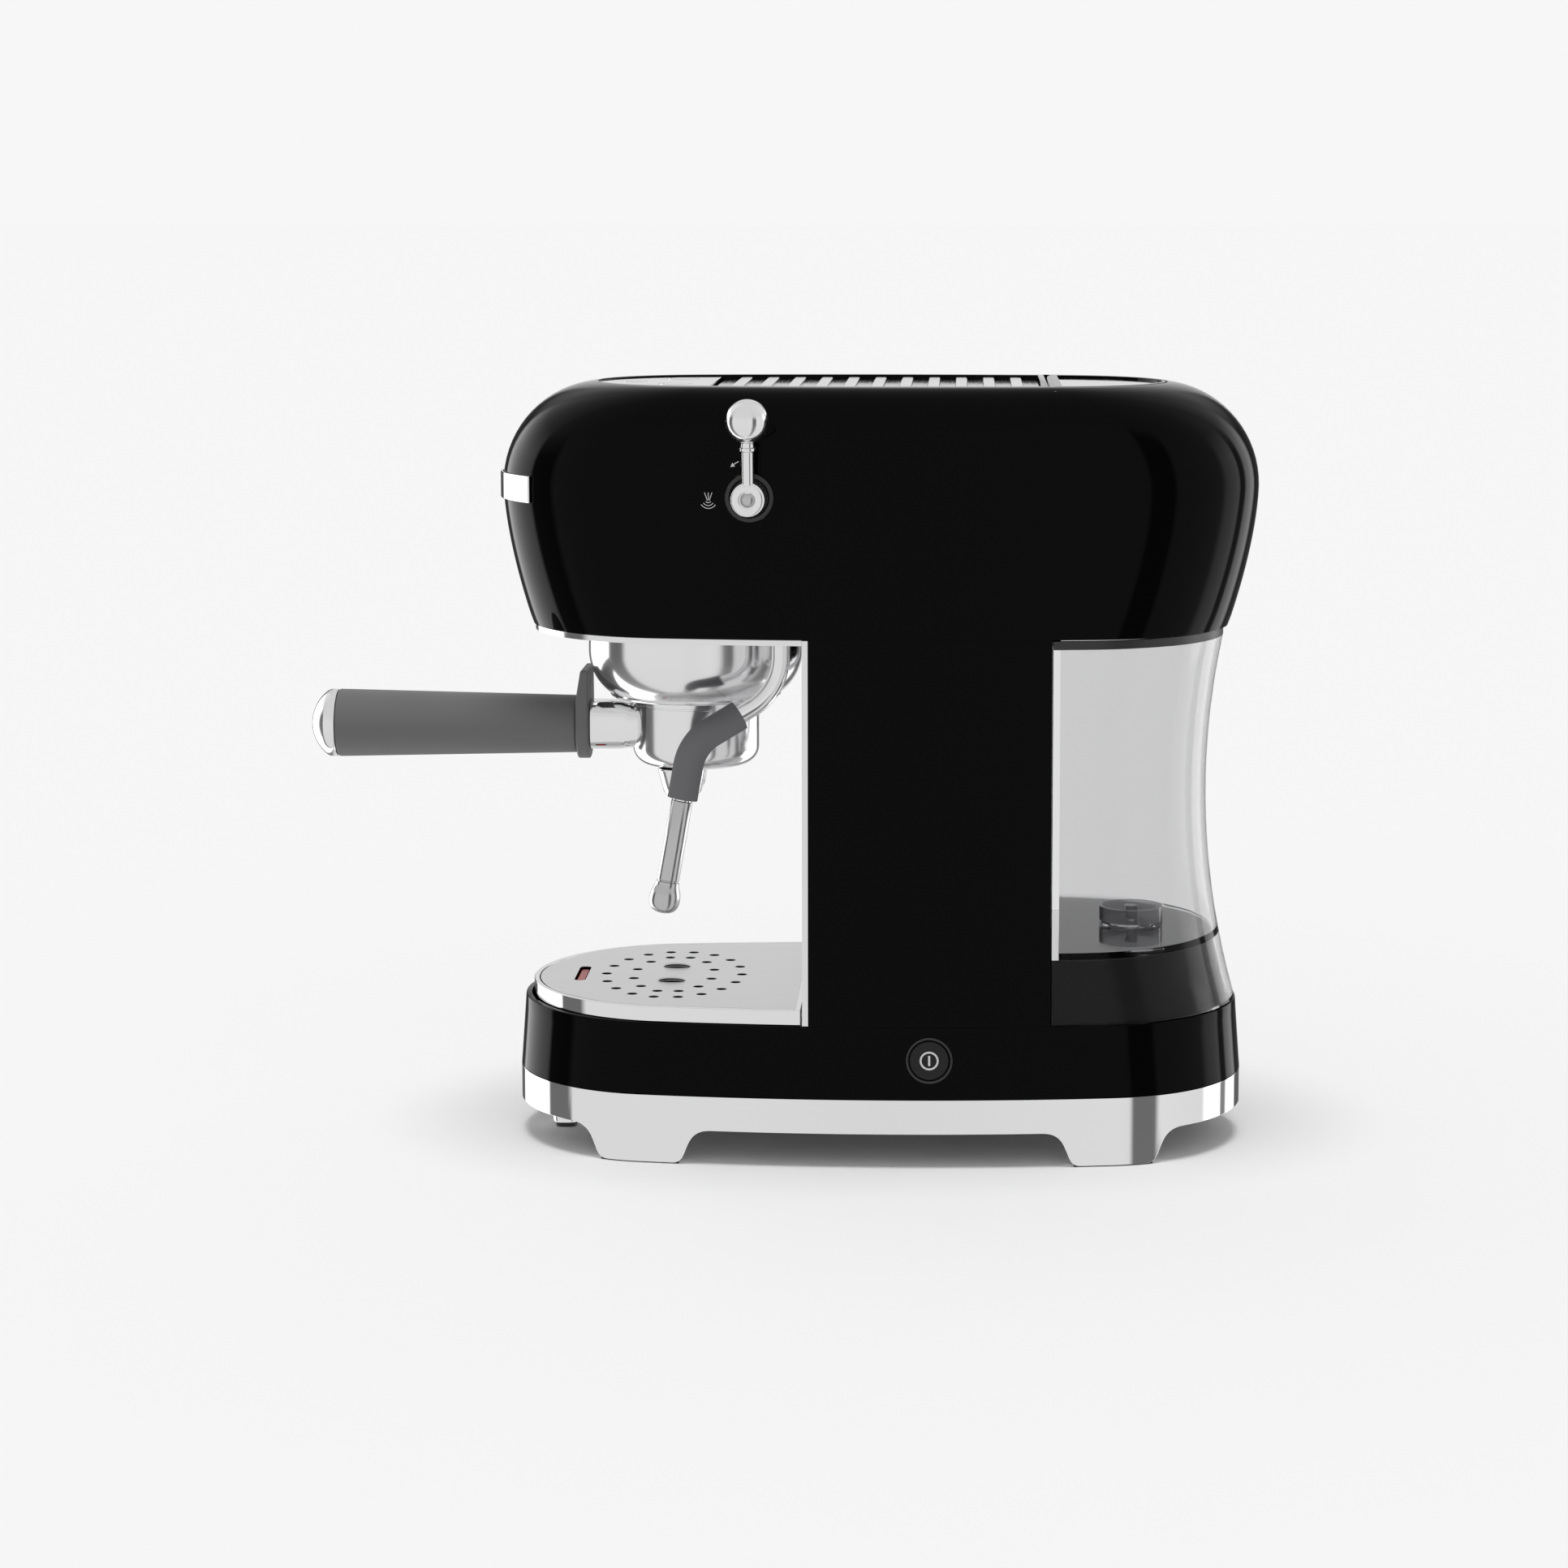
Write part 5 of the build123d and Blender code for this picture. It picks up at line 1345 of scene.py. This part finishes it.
@dataclass(frozen=True)
class Panels:
    """Polished sheets at the front of the column and under the head."""

    def backsplash(self) -> bpy.types.Object:
        """Builds the upright sheet."""
        sheet = plate("backsplash_steel", Oval(158.0), 61.8, 227.5, -31.5, -28.95)
        round_edges(sheet, 0.5, 3, 50)
        shade(sheet, 35)
        weigh_normals(sheet)
        return sheet

    def underplate(self) -> bpy.types.Object:
        """Builds the sheet under the head, bored for the group and the wand."""
        sheet = plate("underplate_steel", Oval(153.3).inset(1.0), 225.2, 227.6, -1e3, -31.6)
        cut(
            sheet,
            bar("group_hole", (0, -81.7, 220), (0, -81.7, 230), 40.0, 96),
            bar("wand_hole", (48, -41.6, 220), (48, -41.6, 230), 7.7, 48),
        )
        round_edges(sheet, 0.5, 3, 50)
        shade(sheet, 35)
        weigh_normals(sheet)
        return sheet

    def badge(self) -> bpy.types.Object:
        """Builds the plain bar on the head's front."""
        start, end = math.radians(-90 - 41.5), math.radians(-90 + 41.5)
        rings = []
        for i in range(41):
            turn = start + (end - start) * i / 40
            out = Vector((math.cos(turn), math.sin(turn), 0))
            middle = Vector((0, -98.7, 0))
            corners = ((67.4, 283.2), (68.5, 283.2), (68.5, 294.8), (67.4, 294.8))
            rings.append([middle + out * reach + Vector((0, 0, z)) for reach, z in corners])
        badge = from_rings("front_badge_chrome", rings)
        round_edges(badge, 0.4, 3, 60)
        shade(badge, 35)
        weigh_normals(badge)
        return badge

    def build(self) -> None:
        """Builds the sheets and the bar."""
        dress(self.backsplash(), "housing", POLISHED_UPRIGHT, "backsplash")
        dress(self.underplate(), "housing", POLISHED, "head_underplate")
        dress(self.badge(), "housing", CHROME, "front_badge")


@dataclass(frozen=True)
class Wand:
    """Steam wand with its rubber grip and bulb."""

    top: Vector = Vector((48.0, -41.6, 229.0))
    high: Vector = Vector((48.0, -41.6, 203.0))
    low: Vector = Vector((60.0, -79.0, 181.5))
    tip: Vector = Vector((64.0, -91.9, 108.8))
    tube: float = 4.0
    sleeve: float = 4.85
    grip: float = 6.5

    def tube_piece(self) -> bpy.types.Object:
        """Carries the tube from the head to the sleeve."""
        corners = [self.top, self.high, self.low, self.low.lerp(self.tip, 0.36)]
        route = bent_route(corners, (25.0, 20.0), 4.0)
        return swept("wand_tube_chrome", route, self.tube)

    def grip_piece(self) -> bpy.types.Object:
        """Carries the grip round the tube's lower bend and rounds its ends."""
        corners = [self.high.lerp(self.low, 0.47), self.low, self.low.lerp(self.tip, 0.325)]
        grip = swept("wand_grip_rubber", bent_route(corners, (20.0,), 4.0), self.grip)
        round_edges(grip, 1.0, 4, 60)
        shade(grip, 40)
        return grip

    def nozzle(self) -> bpy.types.Object:
        """Turns the straight sleeve and the bulb at its end."""
        along = (self.tip - self.low).normalized()
        length = (self.tip - self.low).length
        start, joint, end = 0.335 * length, 0.81 * length, length
        profile = [(0.0, start), (4.3, start), (4.6, start + 0.4), (4.7, joint - 9.0)]
        profile += [(4.75, joint - 0.5), (4.4, joint - 0.2), (4.4, joint + 0.2), (5.0, joint + 0.5)]
        bulb, widest = 6.6, end - 6.0
        swell = ((5.0, joint + 0.5), (5.3, joint + 4), (bulb, end - 10.5), (bulb, widest))
        close = ((bulb, widest), (bulb, end - 1.6), (4.2, end), (0.0, end))
        profile += curve_points(swell, 10)[1:] + curve_points(close, 12)[1:]
        return turned("wand_nozzle_chrome", profile, tuple(self.low), tuple(along), 72)

    def build(self) -> None:
        """Builds the wand."""
        dress(self.tube_piece(), "steam_wand", CHROME, "wand_tube")
        dress(self.grip_piece(), "steam_wand", GREY_RUBBER, "wand_grip")
        dress(self.nozzle(), "steam_wand", STEEL_PAINTED_DARK_REFLECTION, "frother_sleeve", "frother_tip")
        dress(refined("wand_joint", "wand_joint_chrome", 0.5), "steam_wand", CHROME, "wand_joint")


@dataclass(frozen=True)
class Tank:
    """Clear water tank on its dark pedestal."""

    def build(self) -> None:
        """Coats the tank and what it stands on."""
        coat(CLEAR, "water_tank")
        coat(DARK_GREY, "tank_rim")
        coat(SMOKE, "tank_valve")
        coat(BLACK_DEEP, "tank_pedestal")
        coat(BLACK_RUBBER, "inlet_port")


@dataclass(frozen=True)
class Works:
    """Pump, heater and wiring inside."""

    def build(self) -> None:
        """Coats the works."""
        coat(BLACK_MATTE, "pump")
        coat(ZINC, "pump_bracket")
        coat(CAST, "thermoblock")
        coat(BLACK_RUBBER, "water_hoses")
        coat(BOARD, "control_board")


@dataclass(frozen=True)
class Studio:
    """Pale floor, soft light and the camera."""

    camera_place: tuple[float, float, float] = (1601.0, 37.9, 413.2)
    pitch: float = 6.214
    yaw: float = 1.887
    lens: float = 83.74
    shift: Flat = (-0.04, -0.12)
    floor_radius: float = 60000.0
    pale: float = 0.93
    fill: float = 0.4
    overhead: float = 2.0
    softness: float = 26.0
    room_level: float = 5.5
    ceiling_level: float = 0.165

    # (share of the full turn, from -X through -Y, +X and +Y; wall brightness over room_level).
    WALLS: ClassVar[tuple[Flat, ...]] = (
        (0.0, 0.17), (0.03, 0.17), (0.04, 0.02), (0.08, 0.02), (0.092, 0.55), (0.205, 0.55),
        (0.215, 0.03), (0.27, 0.03), (0.285, 0.18), (0.461, 0.18), (0.5, 0.175), (0.556, 0.185),
        (0.585, 0.18), (0.594, 0.03), (0.64, 0.03), (0.65, 0.19), (0.765, 0.18), (0.782, 0.45),
        (0.825, 0.45), (0.832, 0.05), (0.85, 0.05), (0.857, 0.45), (0.895, 0.45), (0.91, 0.02),
        (0.96, 0.02), (0.97, 0.17), (1.0, 0.17),
    )
    # (height from straight down to straight up as a share, share of the ceiling's light).
    CEILING: ClassVar[tuple[Flat, ...]] = (
        (0.0, 0.3), (0.45, 0.0), (0.6, 0.0), (0.72, 0.9), (1.0, 1.0),
    )

    def camera(self) -> None:
        """Places the camera."""
        data = bpy.data.cameras.new("camera")
        data.lens = self.lens
        data.sensor_width = 36.0
        data.shift_x, data.shift_y = self.shift
        data.clip_start, data.clip_end = 0.05, 200.0
        camera = bpy.data.objects.new("camera", data)
        bpy.context.scene.collection.objects.link(camera)
        camera.location = Vector(self.camera_place) * MM
        pitch, yaw = math.radians(self.pitch), math.radians(self.yaw)
        look = Vector(
            (-math.cos(pitch) * math.cos(yaw), -math.cos(pitch) * math.sin(yaw), -math.sin(pitch))
        )
        camera.rotation_euler = look.to_track_quat("-Z", "Y").to_euler()
        bpy.context.scene.camera = camera

    def floor(self) -> None:
        """Lays the floor."""
        clear_selection()
        bpy.ops.mesh.primitive_circle_add(
            vertices=96, radius=self.floor_radius * MM, fill_type="NGON", location=(0, 0, 0)
        )
        floor = bpy.context.active_object
        floor.name = "floor"
        finish = Finish("pale_floor", "black_matte", (0.9, 0.9, 0.9), 0.8, 0.1, specular=0.05)
        floor.data.materials.append(finish.material())
        floor.visible_glossy = False

    def world(self) -> None:
        """Makes the room: pale to look at, with soft panels and dark gaps for gloss to reflect."""
        world = bpy.data.worlds.new("studio")
        bpy.context.scene.world = world
        world.use_nodes = True
        world.cycles.sampling_method = "NONE"
        nodes, links = world.node_tree.nodes, world.node_tree.links
        nodes.clear()
        place = nodes.new("ShaderNodeTexCoord")
        split = nodes.new("ShaderNodeSeparateXYZ")
        links.new(place.outputs["Generated"], split.inputs["Vector"])
        turn = self._sum(world, "ARCTAN2", split.outputs["Y"], split.outputs["X"])
        share = self._sum(world, "DIVIDE", turn, 2.0 * math.pi)
        walls = self._ramp(world, self._sum(world, "ADD", share, 0.5), self.WALLS)
        height = nodes.new("ShaderNodeMapRange")
        height.inputs["From Min"].default_value = -1.0
        links.new(split.outputs["Z"], height.inputs["Value"])
        above = self._ramp(world, height.outputs["Result"], self.CEILING)
        lighter = nodes.new("ShaderNodeMix")
        links.new(above, lighter.inputs["Factor"])
        links.new(walls, lighter.inputs["A"])
        lighter.inputs["B"].default_value = self.ceiling_level
        room = nodes.new("ShaderNodeBackground")
        level = self._sum(world, "MULTIPLY", lighter.outputs["Result"], self.room_level)
        links.new(level, room.inputs["Strength"])
        seen = nodes.new("ShaderNodeBackground")
        seen.inputs["Color"].default_value = (self.pale, self.pale, self.pale, 1.0)
        fill = nodes.new("ShaderNodeBackground")
        fill.inputs["Color"].default_value = (self.fill, self.fill, self.fill, 1.0)
        sight = nodes.new("ShaderNodeLightPath")
        seen_rays = (sight.outputs["Is Camera Ray"], sight.outputs["Is Transmission Ray"])
        plain = self._sum(world, "MAXIMUM", *seen_rays)
        soft = nodes.new("ShaderNodeMixShader")
        links.new(plain, soft.inputs["Fac"])
        links.new(fill.outputs["Background"], soft.inputs[1])
        links.new(seen.outputs["Background"], soft.inputs[2])
        choose = nodes.new("ShaderNodeMixShader")
        links.new(sight.outputs["Is Glossy Ray"], choose.inputs["Fac"])
        links.new(soft.outputs["Shader"], choose.inputs[1])
        links.new(room.outputs["Background"], choose.inputs[2])
        output = nodes.new("ShaderNodeOutputWorld")
        links.new(choose.outputs["Shader"], output.inputs["Surface"])

    @staticmethod
    def _sum(world: bpy.types.World, operation: str, *values: object) -> bpy.types.NodeSocket:
        """Adds a sum of one or two values and returns its output."""
        node = world.node_tree.nodes.new("ShaderNodeMath")
        node.operation = operation
        for socket, value in zip(node.inputs, values):
            if isinstance(value, float):
                socket.default_value = value
            else:
                world.node_tree.links.new(value, socket)
        return node.outputs["Value"]

    @staticmethod
    def _ramp(
        world: bpy.types.World, source: bpy.types.NodeSocket, stops: Sequence[Flat]
    ) -> bpy.types.NodeSocket:
        """Adds a brightness ramp and returns its output."""
        ramp = world.node_tree.nodes.new("ShaderNodeValToRGB")
        elements = ramp.color_ramp.elements
        for place, _ in stops[1:-1]:
            elements.new(place)
        for element, (place, level) in zip(elements, stops):
            element.position = place
            element.color = (level, level, level, 1.0)
        world.node_tree.links.new(source, ramp.inputs["Fac"])
        return ramp.outputs["Color"]

    def overhead_light(self) -> None:
        """Hangs a broad soft light overhead that reflections don't show."""
        data = bpy.data.lights.new("overhead", "SUN")
        data.angle = math.radians(self.softness)
        data.energy = self.overhead
        light = bpy.data.objects.new("overhead", data)
        bpy.context.scene.collection.objects.link(light)
        light.location = (0.0, 0.0, 2.0)
        light.rotation_euler = (0.0, math.radians(4.0), 0.0)
        light.visible_glossy = False

    def build(self) -> None:
        """Sets up the whole studio."""
        bpy.context.scene.view_settings.view_transform = "Standard"
        self.camera()
        self.floor()
        self.world()
        self.overhead_light()


def main() -> None:
    """Builds every sub-assembly in order."""
    logging.basicConfig(level=logging.INFO, format="%(name)s: %(message)s")
    Studio().build()
    for part in (Shell(), Base(), Group(), Panels(), TopPlates(), SteamLever(), PowerButton(),
                 DripTray(), Wand(), Tank(), Works()):
        LOG.info("%s", type(part).__name__)
        part.build()


if __name__ == "__main__":
    main()
